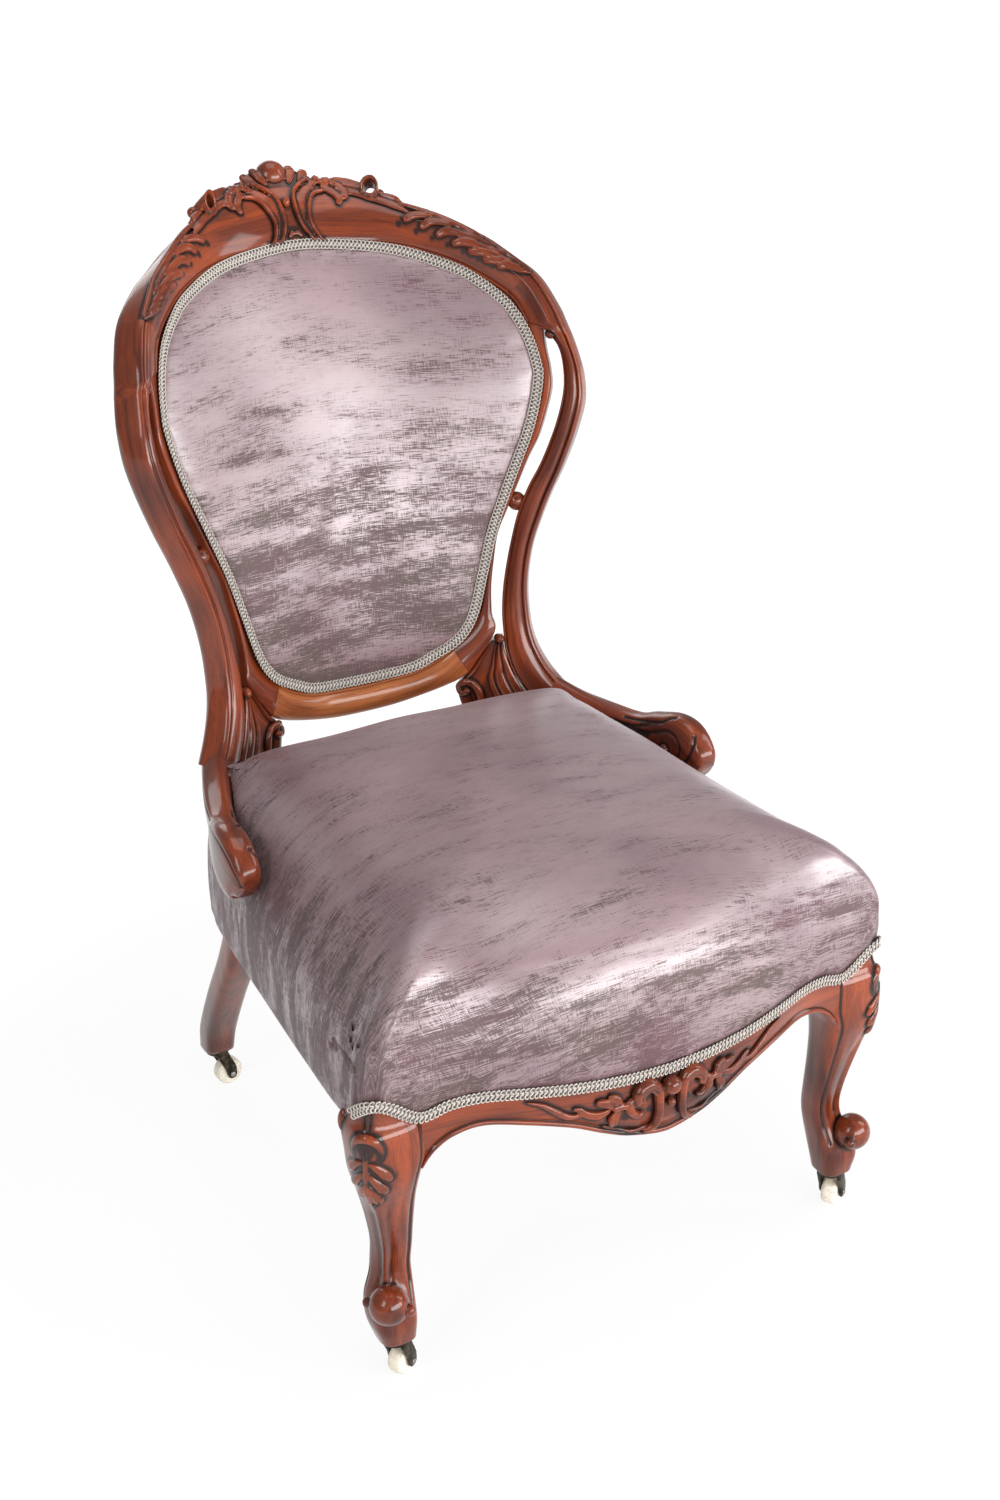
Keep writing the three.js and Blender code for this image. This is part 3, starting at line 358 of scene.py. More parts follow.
chair_middle, pad_front = (0, 0, 0.5), (0.02, 0.1, 0.74)
softboxes = [
    ("left_softbox", (-2.3, -1.2, 2.1), chair_middle, (0.9, 1.5), 26),
    ("right_softbox", (2.2, -0.9, 1.8), chair_middle, (0.7, 1.6), 17),
    ("top_softbox", (0.1, 0.3, 2.9), chair_middle, (1.6, 1.6), 15),
    ("band_softbox", (0.8, -2.7, 1.02), pad_front, (3.6, 1.0), 112),
    ("rear_softbox", (0.6, 2.6, 1.6), chair_middle, (2.0, 1.4), 16),
]
for box_row in softboxes:
    softbox(*box_row)
print(len(softboxes), "softboxes, the strongest of", max(power for *_, power in softboxes), "W")


# %% [markdown]
# ## Node trees by hand
# Blender's materials are graphs, and so are its Geometry Nodes. One small class keeps the code short: it
# adds a node, sets its values and wires what comes in, and it has a line each for the commonest nodes.


# %% Helpers for shader nodes
class Graph:
    def __init__(self, tree):
        self.tree = tree
        tree.nodes.clear()

    def link(self, start, end):
        self.tree.links.new(start, end)

    def feed(self, socket, value):
        """Wires a socket to another, or sets it to a plain value."""
        if isinstance(value, bpy.types.NodeSocket):
            self.link(value, socket)
        elif value is not None:
            socket.default_value = value

    def tune(self, node, **values):
        for key, value in values.items():
            self.feed(node.inputs[key.replace("_", " ")], value)

    def add(self, kind, **values):
        """A new node. Each value goes to the property of its name, or else to the input."""
        node = self.tree.nodes.new(kind)
        for key, value in values.items():
            if hasattr(node, key):
                setattr(node, key, value)
            else:
                self.tune(node, **{key: value})
        return node

    def math(self, operation, a, b=None):
        node = self.add("ShaderNodeMath", operation=operation)
        for socket, value in zip(node.inputs, (a, b)):
            self.feed(socket, value)
        return node.outputs[0]

    def ramp(self, source, *stops):
        node = self.add("ShaderNodeValToRGB")
        while len(node.color_ramp.elements) < len(stops):
            node.color_ramp.elements.new(0.5)
        for element, (place, grey) in zip(node.color_ramp.elements, stops):
            element.position = place
            element.color = (grey, grey, grey, 1)
        self.link(source, node.inputs[0])
        return node.outputs[0]

    def noise(self, vector, scale, detail=3.0, roughness=0.5, distortion=0.0):
        node = self.add("ShaderNodeTexNoise", Vector=vector, Scale=scale, Detail=detail, Roughness=roughness,
                        Distortion=distortion)
        return node.outputs[0]

    def stretched(self, vector, scale, turn=(0, 0, 0)):
        return self.add("ShaderNodeMapping", Vector=vector, Scale=scale, Rotation=turn).outputs[0]

    def mix(self, share, a, b):
        node = self.add("ShaderNodeMix", data_type="RGBA")
        for place, value in ((0, share), (6, a), (7, b)):
            self.feed(node.inputs[place], (*value, 1) if isinstance(value, tuple) else value)
        return node.outputs[2]


FLOAT, COLOR, VECTOR, GEOMETRY = ("NodeSocket" + kind for kind in ("Float", "Color", "Vector", "Geometry"))


def group_tree(name, inputs, outputs, kind="ShaderNodeTree"):
    """A node group with sockets of its own, each input given as (name, kind, default)."""
    tree = bpy.data.node_groups.new(name, kind)
    graph = Graph(tree)
    for label, socket_kind, default in inputs:
        socket = tree.interface.new_socket(label, in_out="INPUT", socket_type=socket_kind)
        if default is not None:
            socket.default_value = default
    for label, socket_kind in outputs:
        tree.interface.new_socket(label, in_out="OUTPUT", socket_type=socket_kind)
    return graph, graph.add("NodeGroupInput"), graph.add("NodeGroupOutput")


def material_graph(name):
    material = bpy.data.materials.new(name)
    material.use_nodes = True
    graph = Graph(material.node_tree)
    shader = graph.add("ShaderNodeBsdfPrincipled")
    output = graph.add("ShaderNodeOutputMaterial")
    graph.link(shader.outputs[0], output.inputs[0])
    return material, graph, shader


def bumped(graph, shader, height, strength, distance):
    bump = graph.add("ShaderNodeBump", Strength=strength, Distance=distance, Height=height)
    graph.tune(shader, Normal=bump.outputs[0])


socket_kinds = [kind.removeprefix("NodeSocket") for kind in (FLOAT, COLOR, VECTOR, GEOMETRY)]
print("groups can have sockets of", socket_kinds)

# %% [markdown]
# ## Old polish
# Walnut that was stained red-brown and waxed for a century is dark where wax and dust gather and pale on
# the edges that hands have rubbed. One group turns the hollow value of a point into that wear, and with it
# into painted shade in the hollows and a painted highlight on the edges. A second one draws the figure of
# the wood: long pores and slow bands that run with the grain.

# %% Shader groups for wood
wear_and_painted_light, wear_and_painted_light_in, wear_and_painted_light_out = group_tree(
    "Old polish wax, rubs and painted light",
    [("Hollow", FLOAT, 0.5), ("Dirt", FLOAT, 0.8), ("Rub", FLOAT, 0.5)],
    [("Dirt mask", FLOAT), ("Rub mask", FLOAT)])
# Hollows darken with old wax and painted shade; edges pale with rubbing and a painted highlight.
wax_and_shade = wear_and_painted_light.ramp(wear_and_painted_light_in.outputs["Hollow"], (0.53, 0.0), (0.8, 1.0))
rub_and_highlight = wear_and_painted_light.ramp(wear_and_painted_light_in.outputs["Hollow"], (0.12, 1.0), (0.44, 0.0))
wear_and_painted_light.link(wear_and_painted_light.math("MULTIPLY", wax_and_shade, wear_and_painted_light_in.outputs["Dirt"]), wear_and_painted_light_out.inputs[0])
wear_and_painted_light.link(wear_and_painted_light.math("MULTIPLY", rub_and_highlight, wear_and_painted_light_in.outputs["Rub"]), wear_and_painted_light_out.inputs[1])

figure, figure_in, figure_out = group_tree(
    "Wood figure",
    [("Vector", VECTOR, None), ("Dark", COLOR, (0.1, 0.02, 0.01, 1)), ("Light", COLOR, (0.5, 0.2, 0.1, 1))],
    [("Color", COLOR), ("Pores", FLOAT)])
bands = figure.noise(figure.stretched(figure_in.outputs[0], (60, 60, 5)), 1.0, 4, 0.6, 0.8)
pores = figure.noise(figure.stretched(figure_in.outputs[0], (900, 900, 28)), 1.0, 2, 0.7)
cloud = figure.noise(figure_in.outputs[0], 9.0, 2)
blend = figure.math("ADD", figure.math("MULTIPLY", bands, 0.55), figure.math("MULTIPLY", cloud, 0.45))
shade = figure.ramp(blend, (0.38, 0.0), (0.62, 1.0))
tone = figure.mix(shade, figure_in.outputs["Dark"], figure_in.outputs["Light"])
pore_mask = figure.ramp(pores, (0.36, 1.0), (0.48, 0.0))
tone = figure.mix(figure.math("MULTIPLY", pore_mask, 0.4), tone, (0.03, 0.008, 0.004))
figure.link(tone, figure_out.inputs[0])
figure.link(pore_mask, figure_out.inputs[1])
print("groups for wood:", wear_and_painted_light.tree.name, "and", figure.tree.name)


# %% Walnut and beech
# Dark of old wax and painted shade for hollows; pale of rubbed wood and painted highlight for edges.
wax_and_shade_dark, rubbed_edge_highlight = (0.010, 0.0035, 0.0025), (0.40, 0.12, 0.035)
pore_bump, pore_depth = 0.12, 0.0002


def wood(name, dark, light, coat, roughness, wax_shade_share, rub_highlight_share):
    material, graph, shader = material_graph(name)
    grain = graph.add("ShaderNodeAttribute", attribute_name="grain").outputs["Vector"]
    hollow = graph.add("ShaderNodeAttribute", attribute_name="hollow").outputs["Fac"]
    figured = graph.add("ShaderNodeGroup", node_tree=figure.tree, Vector=grain, Dark=(*dark, 1),
                        Light=(*light, 1))
    worn_and_painted_light = graph.add("ShaderNodeGroup", node_tree=wear_and_painted_light.tree, Hollow=hollow, Dirt=wax_shade_share, Rub=rub_highlight_share)
    # Hollows take wax and painted shade, and edges a rub and painted highlight.
    color = graph.mix(worn_and_painted_light.outputs[0], figured.outputs[0], wax_and_shade_dark)
    color = graph.mix(worn_and_painted_light.outputs[1], color, rubbed_edge_highlight)
    smears = graph.math("MULTIPLY", graph.noise(grain, 45.0, 3), 0.16)
    polish = graph.math("ADD", smears, roughness)
    rough = graph.math("ADD", polish, graph.math("MULTIPLY", worn_and_painted_light.outputs[0], 0.25))
    graph.tune(shader, Base_Color=color, Roughness=rough, Specular_IOR_Level=0.18, Coat_Weight=coat,
               Coat_Roughness=0.11)
    bumped(graph, shader, figured.outputs[1], pore_bump, pore_depth)
    return material


walnut = wood("waxed_walnut", (0.070, 0.0110, 0.0042), (0.27, 0.047, 0.012), 0.65, 0.28, 0.95, 0.3)
# A lighter copy of the walnut for the lower rail: its lightness is a painted highlight.
painted_highlight_walnut = wood("painted_highlight_walnut", (0.20, 0.048, 0.013), (0.44, 0.135, 0.040), 0.55, 0.28, 0.85, 0.35)
beech = wood("sawn_beech", (0.42, 0.25, 0.13), (0.6, 0.4, 0.22), 0.0, 0.6, 0.3, 0.1)
print("woods:", walnut.name, painted_highlight_walnut.name, beech.name)

# %% [markdown]
# ## Crushed velvet
# The pile lies in two directions, so patches look taupe where it leans away and lilac where it faces the
# light, broken by the threads of the weave. The group makes both masks from long thin noise, once along
# the weft and once along the warp. Where the pile faces the light its tips shine like satin, which a rough
# coat gives, and each pad says for itself how broken its pile is.

# %% Velvet
pile, pile_in, pile_out = group_tree(
    "Crushed pile",
    [("Vector", VECTOR, None), ("Crush", FLOAT, 0.5)],
    [("Lean", FLOAT), ("Nap", FLOAT)])
weft = pile.noise(pile.stretched(pile_in.outputs[0], (60, 1050, 1)), 1.0, 3, 0.6)
warp = pile.noise(pile.stretched(pile_in.outputs[0], (1100, 90, 1)), 1.0, 3, 0.6)
patch = pile.noise(pile.stretched(pile_in.outputs[0], (9, 42, 1), (0, 0, 0.05)), 1.0, 4, 0.62, 0.3)
fluff = pile.noise(pile_in.outputs[0], 900.0, 2, 0.7)
mixed = pile.math("ADD", pile.math("MULTIPLY", patch, 0.36), pile.math("MULTIPLY", weft, 0.42))
mixed = pile.math("ADD", mixed, pile.math("MULTIPLY", warp, 0.22))
mixed = pile.math("ADD", mixed, pile.math("MULTIPLY", pile_in.outputs["Crush"], 0.10))
sharp = pile.ramp(mixed, (0.558, 0.0), (0.592, 1.0))
soft = pile.ramp(mixed, (0.47, 0.0), (0.62, 0.4))
pile.link(pile.math("MAXIMUM", pile.math("MULTIPLY", sharp, 0.95), soft), pile_out.inputs[0])
nap = pile.math("ADD", pile.math("MULTIPLY", weft, 0.5), pile.math("MULTIPLY", fluff, 0.5))
pile.link(nap, pile_out.inputs[1])


lilac, taupe, plum = (0.235, 0.132, 0.146), (0.088, 0.062, 0.057), (0.115, 0.047, 0.062)
nap_bump, nap_depth = 0.3, 0.0004


def velvet_finish(name):
    material, graph, shader = material_graph(name)
    cloth = graph.add("ShaderNodeAttribute", attribute_name="grain").outputs["Vector"]
    crush = graph.add("ShaderNodeAttribute", attribute_name="crush").outputs["Fac"]
    leaning = graph.add("ShaderNodeGroup", node_tree=pile.tree, Vector=cloth, Crush=crush)
    cloud = graph.ramp(graph.noise(cloth, 7.0, 3), (0.42, 0.0), (0.64, 0.7))
    color = graph.mix(cloud, graph.mix(leaning.outputs[0], lilac, taupe), plum)
    rough = graph.math("ADD", graph.math("MULTIPLY", leaning.outputs[0], 0.25), 0.36)
    facing = graph.math("SUBTRACT", 1.0, leaning.outputs[0])
    graph.tune(shader, Base_Color=color, Roughness=rough, Coat_Weight=facing, Coat_IOR=2.5,
               Coat_Roughness=0.48, Specular_IOR_Level=0.3, Sheen_Weight=0.25, Sheen_Roughness=0.35,
               Sheen_Tint=(0.95, 0.86, 0.92, 1))
    bumped(graph, shader, leaning.outputs[1], nap_bump, nap_depth)
    return material


velvet = velvet_finish("crushed_velvet")
print("velvet:", velvet.name, "with", len(velvet.node_tree.nodes), "nodes")

# %% [markdown]
# ## The other finishes
# Braid, jute, black cambric, dull wire, blackened brass and speckled ceramic are simpler: each has a
# colour that varies at its own scale, and a bump to match.


# %% Cloths, metals and ceramic
even, fine_bump = (1, 1, 1), 0.0005


def plain_finish(name, dark, light, scale, roughness, metal=0.0, bump=0.2, spread=(0.35, 0.65), stretch=even):
    material, graph, shader = material_graph(name)
    place = graph.add("ShaderNodeTexCoord").outputs["Object"]
    value = graph.noise(graph.stretched(place, stretch), scale, 4, 0.6)
    color = graph.mix(graph.ramp(value, (spread[0], 0.0), (spread[1], 1.0)), dark, light)
    graph.tune(shader, Base_Color=color, Roughness=roughness, Metallic=metal)
    bumped(graph, shader, value, bump, fine_bump)
    return material, graph, shader


braid, braid_graph, braid_shader = plain_finish(
    "gimp_braid", (0.34, 0.30, 0.26), (0.64, 0.59, 0.53), 900, 0.45, bump=0.4)
braid_graph.tune(braid_shader, Sheen_Weight=0.3)
# The tape is made dark as painted shade in the gaps between the braid's loops.
shaded_braid_tape, _, _ = plain_finish("gimp_tape_painted_shade", (0.07, 0.058, 0.055), (0.19, 0.16, 0.155), 700, 0.7, bump=0.5)
jute, _, _ = plain_finish("jute", (0.28, 0.2, 0.11), (0.5, 0.4, 0.24), 500, 0.9, bump=0.6, stretch=(1, 3, 1))
cambric, _, _ = plain_finish("black_cambric", (0.012, 0.011, 0.011), (0.04, 0.037, 0.036), 700, 0.85)
wire, _, _ = plain_finish("spring_wire", (0.16, 0.15, 0.14), (0.34, 0.32, 0.3), 90, 0.4, 0.9)
old_brass, _, _ = plain_finish(
    "blackened_brass", (0.018, 0.014, 0.010), (0.12, 0.085, 0.045), 120, 0.42, 0.85, spread=(0.45, 0.75))
ceramic, glaze, glaze_shader = plain_finish(
    "speckled_ceramic", (0.78, 0.68, 0.52), (0.9, 0.84, 0.72), 60, 0.25, bump=0.05)
brown_speck = (0.34, 0.2, 0.1)
glaze_place = glaze.add("ShaderNodeTexCoord").outputs["Object"]
speck = glaze.ramp(glaze.noise(glaze_place, 420, 3, 0.7), (0.6, 0.0), (0.7, 0.75))
glaze_base = glaze_shader.inputs["Base Color"].links[0].from_socket
glaze.tune(glaze_shader, Base_Color=glaze.mix(speck, glaze_base, brown_speck), Coat_Weight=0.5)
print(len(bpy.data.materials), "materials so far")

# %% [markdown]
# ## The hollow of the back
# Stiles, crest, pad and braid all lie on one curved surface: it leans back as it rises, curls back more
# at the top, and its sides come forward round the sitter. Every board is drawn on that surface as two
# edge lines and a section, which is how a chair maker's templates work.

# %% The back's surface
arm_level, back_rise, back_half = 0.400, 0.500, 0.250
back_set, back_lean, back_sweep, back_dish = 0.228 + seat_datum, 0.081, 0.052, 0.133
roll_start_share, roll_slope, roll_ease_share = 0.95, 0.038 / 0.11, 0.012


def back_y(x, z):
    rise = (z - arm_level) / back_rise
    past = np.logaddexp(0, (rise - roll_start_share) / roll_ease_share) * roll_ease_share
    leaned = back_set + back_lean * rise + back_sweep * rise ** 2 + roll_slope * past
    return leaned - back_dish * (x / back_half) ** 2


def on_back(x, z, out=0.0):
    """Points of the back's surface, lifted off it towards the sitter."""
    x, z, out = np.broadcast_arrays(np.asarray(x, float), np.asarray(z, float), np.asarray(out, float))
    step = 1e-4
    slope_x = (back_y(x + step, z) - back_y(x - step, z)) / (2 * step)
    slope_z = (back_y(x, z + step) - back_y(x, z - step)) / (2 * step)
    normal = unit(np.stack([slope_x, -np.ones_like(x), slope_z], -1))
    return np.stack([x, back_y(x, z), z], -1) + normal * out[..., None]


def from_shares(pairs):
    """Share pairs of the back's size to (x, z) in metres."""
    pairs = np.asarray(pairs, float)
    return np.stack([pairs[..., 0] * back_half, arm_level + pairs[..., 1] * back_rise], -1)


print("the back leans by", round(float(back_y(0, 0.9) - back_y(0, arm_level)), 3), "m over its height")

# %% Sections of the boards
# A section's points are (share of the width, millimetres across, millimetres out)
rear_of_section = [
    (1, 0, -8), (1, 0, -14), (1, -0.3, -19), (1, -2, -23), (1, -4.5, -25.8), (1, -6.8, -27.6), (0.5, 0, -29.5),
    (0, 6.8, -27.6), (0, 4.5, -25.8), (0, 2, -23), (0, 0.3, -19), (0, 0, -14), (0, 0, -8),
]
tacked_section = [
    (0, 0, -3), (0, 0.5, -0.6), (0, 2, 0), (0, 10, 0), (0, 20.3, 0), (0, 20.9, 0.2), (0, 21.4, 1.8),
    (0, 22.8, 2.9), (0, 24.2, 2.2), (0, 24.8, 1.4), (0, 25.8, 3.0), (0.25, 19, 5.6), (0.5, 11, 7.6),
    (0.7, 4, 8.4), (0.86, -2.4, 7.6), (1, -6.4, 6.4), (1, -5.7, 4.6), (1, -5.0, 4.8), (1, -4.2, 5.8),
    (1, -3.0, 6.0), (1, -1.7, 4.9), (1, -0.7, 2.8), (1, -0.1, 0), (1, 0, -3),
]
stile_section = [
    (0, 0, -4.5), (0, 0.5, -1.8), (0, 1.3, -0.4), (0, 2.4, -0.2), (0, 3.2, -1.2), (0, 3.7, -1.1),
    (0, 4.3, 0.9), (0, 5.6, 3.0), (0.22, 3.4, 5.0), (0.36, 1.8, 6.2), (0.5, 0, 6.8), (0.62, -0.8, 6.7),
    (0.74, -1.6, 6.0), (0.86, -3.2, 4.9), (1, -6.9, 3.9), (1, -6.3, 3.2), (1, -5.7, 1.5), (1, -5.1, 1.7),
    (1, -4.4, 3.0), (1, -3.2, 3.7), (1, -1.8, 3.0), (1, -0.7, 1.5), (1, -0.1, -0.6), (1, 0, -3),
]
lower_section = [
    (0, 0, -3), (0, 0.5, -0.6), (0, 2, 0), (0, 10, 0), (0, 20.3, 0), (0, 20.9, 0.2), (0, 21.4, 1.5),
    (0, 22.6, 2.4), (0, 23.8, 1.8), (0, 24.4, 1.2), (0, 25.2, 2.4), (0.3, 14, 4.6), (0.52, 8, 5.8),
    (0.7, 3, 6.1), (0.82, 0, 5.6), (1, -5.5, 4.4), (1, -4.4, 3.9), (1, -3.4, 3.3), (1, -2.6, 2.6),
    (1, -1.8, 1.7), (1, -1.1, 0.6), (1, -0.5, -0.8), (1, -0.1, -2.4), (1, 0, -4),
]
print("sections of", len(tacked_section), len(stile_section), len(lower_section), "points in front")


# %% Boards between two edge lines

def finer(section, per=3):
    """A section drawn with more points."""
    return spline(section, per)


def held_ends(rings, share=0.04):
    """Rings with one more close to each end, so that the shading stays square there."""
    first = rings[:1] * (1 - share) + rings[1:2] * share
    last = rings[-1:] * (1 - share) + rings[-2:-1] * share
    return np.concatenate([rings[:1], first, rings[1:-1], last, rings[-1:]])


def board_rings(inner, outer, sections):
    """Rings of a board between two edge lines, and for each point its place across, out and along."""
    start, end = on_back(inner[:, 0], inner[:, 1]), on_back(outer[:, 0], outer[:, 1])
    width = np.linalg.norm(end - start, axis=1)
    middle = (start + end) / 2
    along = np.concatenate([[0], np.cumsum(np.linalg.norm(np.diff(middle, axis=0), axis=1))])
    sections = np.broadcast_to(np.asarray(sections, float), (len(inner), *np.shape(sections)[-2:]))
    shares, offsets, outs = np.moveaxis(sections, -1, 0)
    across = shares + offsets * MM / width[:, None]
    x = inner[:, :1] + (outer - inner)[:, :1] * across
    z = inner[:, 1:] + (outer - inner)[:, 1:] * across
    rings = on_back(x, z, outs * MM)
    grain = np.stack([across * width[:, None], outs * MM, np.broadcast_to(along[:, None], x.shape)], -1)
    return held_ends(rings), held_ends(grain)


def edges_of(pairs, per):
    pairs = np.asarray(pairs, float)
    return from_shares(spline(pairs[:, 0], per)), from_shares(spline(pairs[:, 1], per))


def full_section(front):
    return np.vstack([finer(front), rear_of_section])


def board(pairs, section, per):
    return rings_solid(*board_rings(*edges_of(pairs, per), full_section(section)))


print("a board's section has", len(full_section(tacked_section)), "points")


# %% [markdown]
# ## Carving
# A carver raises each lobe of a leaf and each scroll from the board. Here each one is a stroke: a tube
# that swells and tapers, laid on the wood by a ray so that it follows the surface under it, with a
# scooped section. Wood and strokes are then fused by a voxel remesh and eased, like a carving that has
# been rubbed down.


# %% Strokes, beads and fusing
def bvh_of(solid):
    verts, faces, _ = solid
    return BVHTree.FromPolygons(verts.tolist(), faces)


def settle(tree, place, aim, reach=0.05):
    """The wood under a place, seen along aim, or the place itself where there is none."""
    start = Vector(place) - Vector(aim) * reach
    hit, normal, _, _ = tree.ray_cast(start, Vector(aim), reach * 2)
    if hit is None:
        return np.array(place), -np.array(aim)
    return np.array(hit), np.array(normal)


def stroke(places, normals, widths, rise=0.6, scoop=0.0, per=6, sides=14):
    """A closed tube along places: widths are half-widths, rise the height as a share of the width."""
    places, normals = spline(places, per), unit(spline(normals, per))
    widths = np.maximum(spline(np.array(widths, float)[:, None], per)[:, 0], 0.0002)
    walked = np.concatenate([[0], np.cumsum(np.linalg.norm(np.diff(places, axis=0), axis=1))])
    for to_end in (walked, walked[-1] - walked):
        short = np.clip(widths - to_end, 0, None)
        widths = np.maximum(np.sqrt(np.clip(widths ** 2 - short ** 2, 0, None)), 0.0002)
    tangents = unit(np.gradient(places, axis=0))
    side = unit(np.cross(tangents, normals))
    angles = np.linspace(0, 2 * math.pi, sides, endpoint=False)
    rings = []
    for place, normal, across, width in zip(places, normals, side, widths):
        a = np.cos(angles)
        b = np.sin(angles)
        hollow = 1 - scoop * np.exp(-(a / 0.42) ** 2) * (b > 0)
        rings.append(place + np.outer(a * width, across) + np.outer(b * width * rise * hollow, normal))
    return rings_solid(rings)


def ball(place, radius, squash=(1, 1, 1), rows=16, sides=24):
    turns = np.linspace(0, math.pi, rows + 2)[1:-1]
    around = np.linspace(0, 2 * math.pi, sides, endpoint=False)
    rings = [[(math.sin(t) * math.cos(a), math.sin(t) * math.sin(a), math.cos(t)) for a in around] for t in turns]
    return rings_solid(np.array(rings) * radius * np.array(squash) + np.array(place))


def stroke_through(found, widths, rise, scoop, lift):
    """A stroke over (place, normal) pairs found on the wood, with its half-widths spread along it."""
    places = [place + normal * lift for place, normal in found]
    steps = np.linspace(0, len(widths) - 1, len(places))
    spread = np.interp(steps, np.arange(len(widths)), widths)
    return stroke(places, [normal for _, normal in found], spread, rise, scoop, 2)


print("a stroke of 3 places has", len(stroke(np.eye(3), [(0, 0, 1)] * 3, [MM] * 3)[1]), "faces")

# %% Fusing and carving
skin_ease = 0.4
# Painted shade where a carving meets its board: its reach and darkness on the carving, then round it on the board.
seam_reach, seam_shade, halo_reach, halo_shade = 0.0013, 0.75, 0.0026, 0.9


def fuse(solids, voxel):
    """The solids joined into one skin by a voxel remesh, then eased."""
    rough = mesh_object("rough_carving", together(*solids))
    mesh = remeshed(rough, voxel)
    verts = averaged(corners(mesh), edge_pairs(mesh), 1, skin_ease)
    faces = [tuple(face.vertices) for face in mesh.polygons]
    bpy.data.objects.remove(rough)
    bpy.data.meshes.remove(mesh)
    return verts, faces


def carved(name, solid, strokes=(), voxel=0.00095, lines=(), shaded_pits=()):
    """One piece: the wood with its scored lines, its carving fused and set on it, and painted shade in its grooves,
    seams and given spots.
    """
    (verts, faces, grain), dark = scored(solid, lines, shaded_pits)
    base = len(verts)
    if strokes:
        raised, raised_faces = fuse(strokes, voxel)
        below, tops = near_points(verts), near_points(raised)
        raised_grain = np.array([grain[below.find(place)[1]] for place in raised])
        skin = BVHTree.FromPolygons(verts.tolist(), faces)
        heights = np.array([skin.find_nearest(place)[3] for place in raised])
        # Painted shade at the foot of the carving, and in the given spots.
        raised_shade = seam_shade * np.exp(-(heights / seam_reach) ** 2)
        for place, radius in shaded_pits:
            gaps = np.linalg.norm(raised - np.array(place), axis=1)
            raised_shade = np.maximum(raised_shade, np.exp(-(gaps / radius) ** 4))
        # Painted shade on the board round the carving.
        halo = np.array([tops.find(place)[2] for place in verts])
        dark = np.maximum(dark, halo_shade * np.exp(-(halo / halo_reach) ** 2))
        faces = list(faces) + [tuple(i + base for i in face) for face in raised_faces]
        verts, grain = np.vstack([verts, raised]), np.vstack([grain, raised_grain])
        dark = np.concatenate([dark, raised_shade])
    made = link_mesh(name, verts, faces)
    if strokes:
        grain[base:] = averaged(grain, edge_pairs(made.data), 6)[base:]
    note_points(made.data, "grain", grain)
    note_hollows(made, dark)
    return made


def carved_pair(name, node, solid, strokes=(), voxel=0.00095, lines=(), shaded_pits=()):
    """A walnut piece for each side of the chair, drawn for the right and mirrored to the left."""
    for label, turn, side in both_sides:
        cuts = [(np.array(points) * (side, 1, 1), depth, half) for points, depth, half in lines]
        # Spots of painted shade, mirrored to each side.
        sunk = [(np.array(place) * (side, 1, 1), radius) for place, radius in shaded_pits]
        made = carved(f"{name}_{label}", turn(solid), [turn(part) for part in strokes], voxel, cuts, sunk)
        finish_piece(made, walnut, nodes=[f"{node}_{label}"])
        print(made.name, len(made.data.polygons), "faces")


def hollow_curl(place, aim, upward, radius, wall, depth, start=-0.6, end=5.4, side=1):
    """The rolled tip of a leaf: a thick strip wound round its own mouth."""
    aim, upward = unit(aim), unit(upward)
    across = np.cross(aim, upward) * side
    rings = []
    for turn in np.linspace(start, end, 30):
        out = across * math.cos(turn) + upward * math.sin(turn)
        far = radius * (1 - 0.035 * (turn - start))
        ring = [(far * 1.06, depth / 2), (far * 1.08, depth / 2 + 0.0004), (far - wall, depth / 2),
                (far - wall, -depth / 2), (far * 0.96, -depth / 2)]
        rings.append([np.array(place) + out * r + aim * d for r, d in ring])
    return rings_solid(rings)


# %% [markdown]
# ## Crest rail
# The crest runs from scarf joint to scarf joint. A ball and a pierced cartouche of two C-scrolls stand
# over its middle, a rolled leaf curls up on each side, and acanthus lobes flow down each shoulder.

# %% Crest board
crest_shares = [
    [[0, 0.904], [0, 1.044]], [[0.12, 0.902], [0.132, 1.04]], [[0.224, 0.896], [0.264, 1.032]],
    [[0.4, 0.882], [0.47, 0.996]], [[0.552, 0.856], [0.62, 0.97]], [[0.648, 0.826], [0.77, 0.92]],
    [[0.712, 0.802], [0.866, 0.876]],
]
next_below = [[0.738, 0.786], [0.916, 0.816]]
crest_steps = 22
mount_top = [
    (-50, 914), (-42, 919), (-33, 927), (-24, 932), (-13, 933), (0, 933), (13, 933), (24, 932), (33, 927),
    (42, 919), (50, 914),
]
mount_section = [
    (0, 0, -4), (0, 0.4, 5.6), (0.3, 0, 7.0), (0.6, 0, 6.8), (0.85, 0, 5.4), (0.97, 0, 2.6), (1, 0, -2),
    (1, 0, -12), (0.9, 0, -17), (0.5, 0, -19), (0, 0, -19),
]
mount_low = 0.903


def across_pairs(pairs):
    """Edge pairs of a half board, with their mirror image before them."""
    return [[[-x, z] for x, z in pair] for pair in pairs[:0:-1]] + list(pairs)


crest_edges = edges_of(across_pairs([*crest_shares, next_below]), crest_steps)
crest_edges = [edge[crest_steps:-crest_steps] for edge in crest_edges]
crest_inner, crest_outer = edges_of(crest_shares, crest_steps)
mount_edge = spline(mount_top, 6) * MM
mount_foot = np.stack([mount_edge[:, 0], np.full(len(mount_edge), mount_low)], -1)
crest_board = together(
    rings_solid(*board_rings(*crest_edges, full_section(tacked_section))),
    rings_solid(*board_rings(mount_foot, mount_edge, finer(mount_section, 2))))
crest_tree = bvh_of(crest_board)
print("the crest's board has", len(crest_board[1]), "faces")


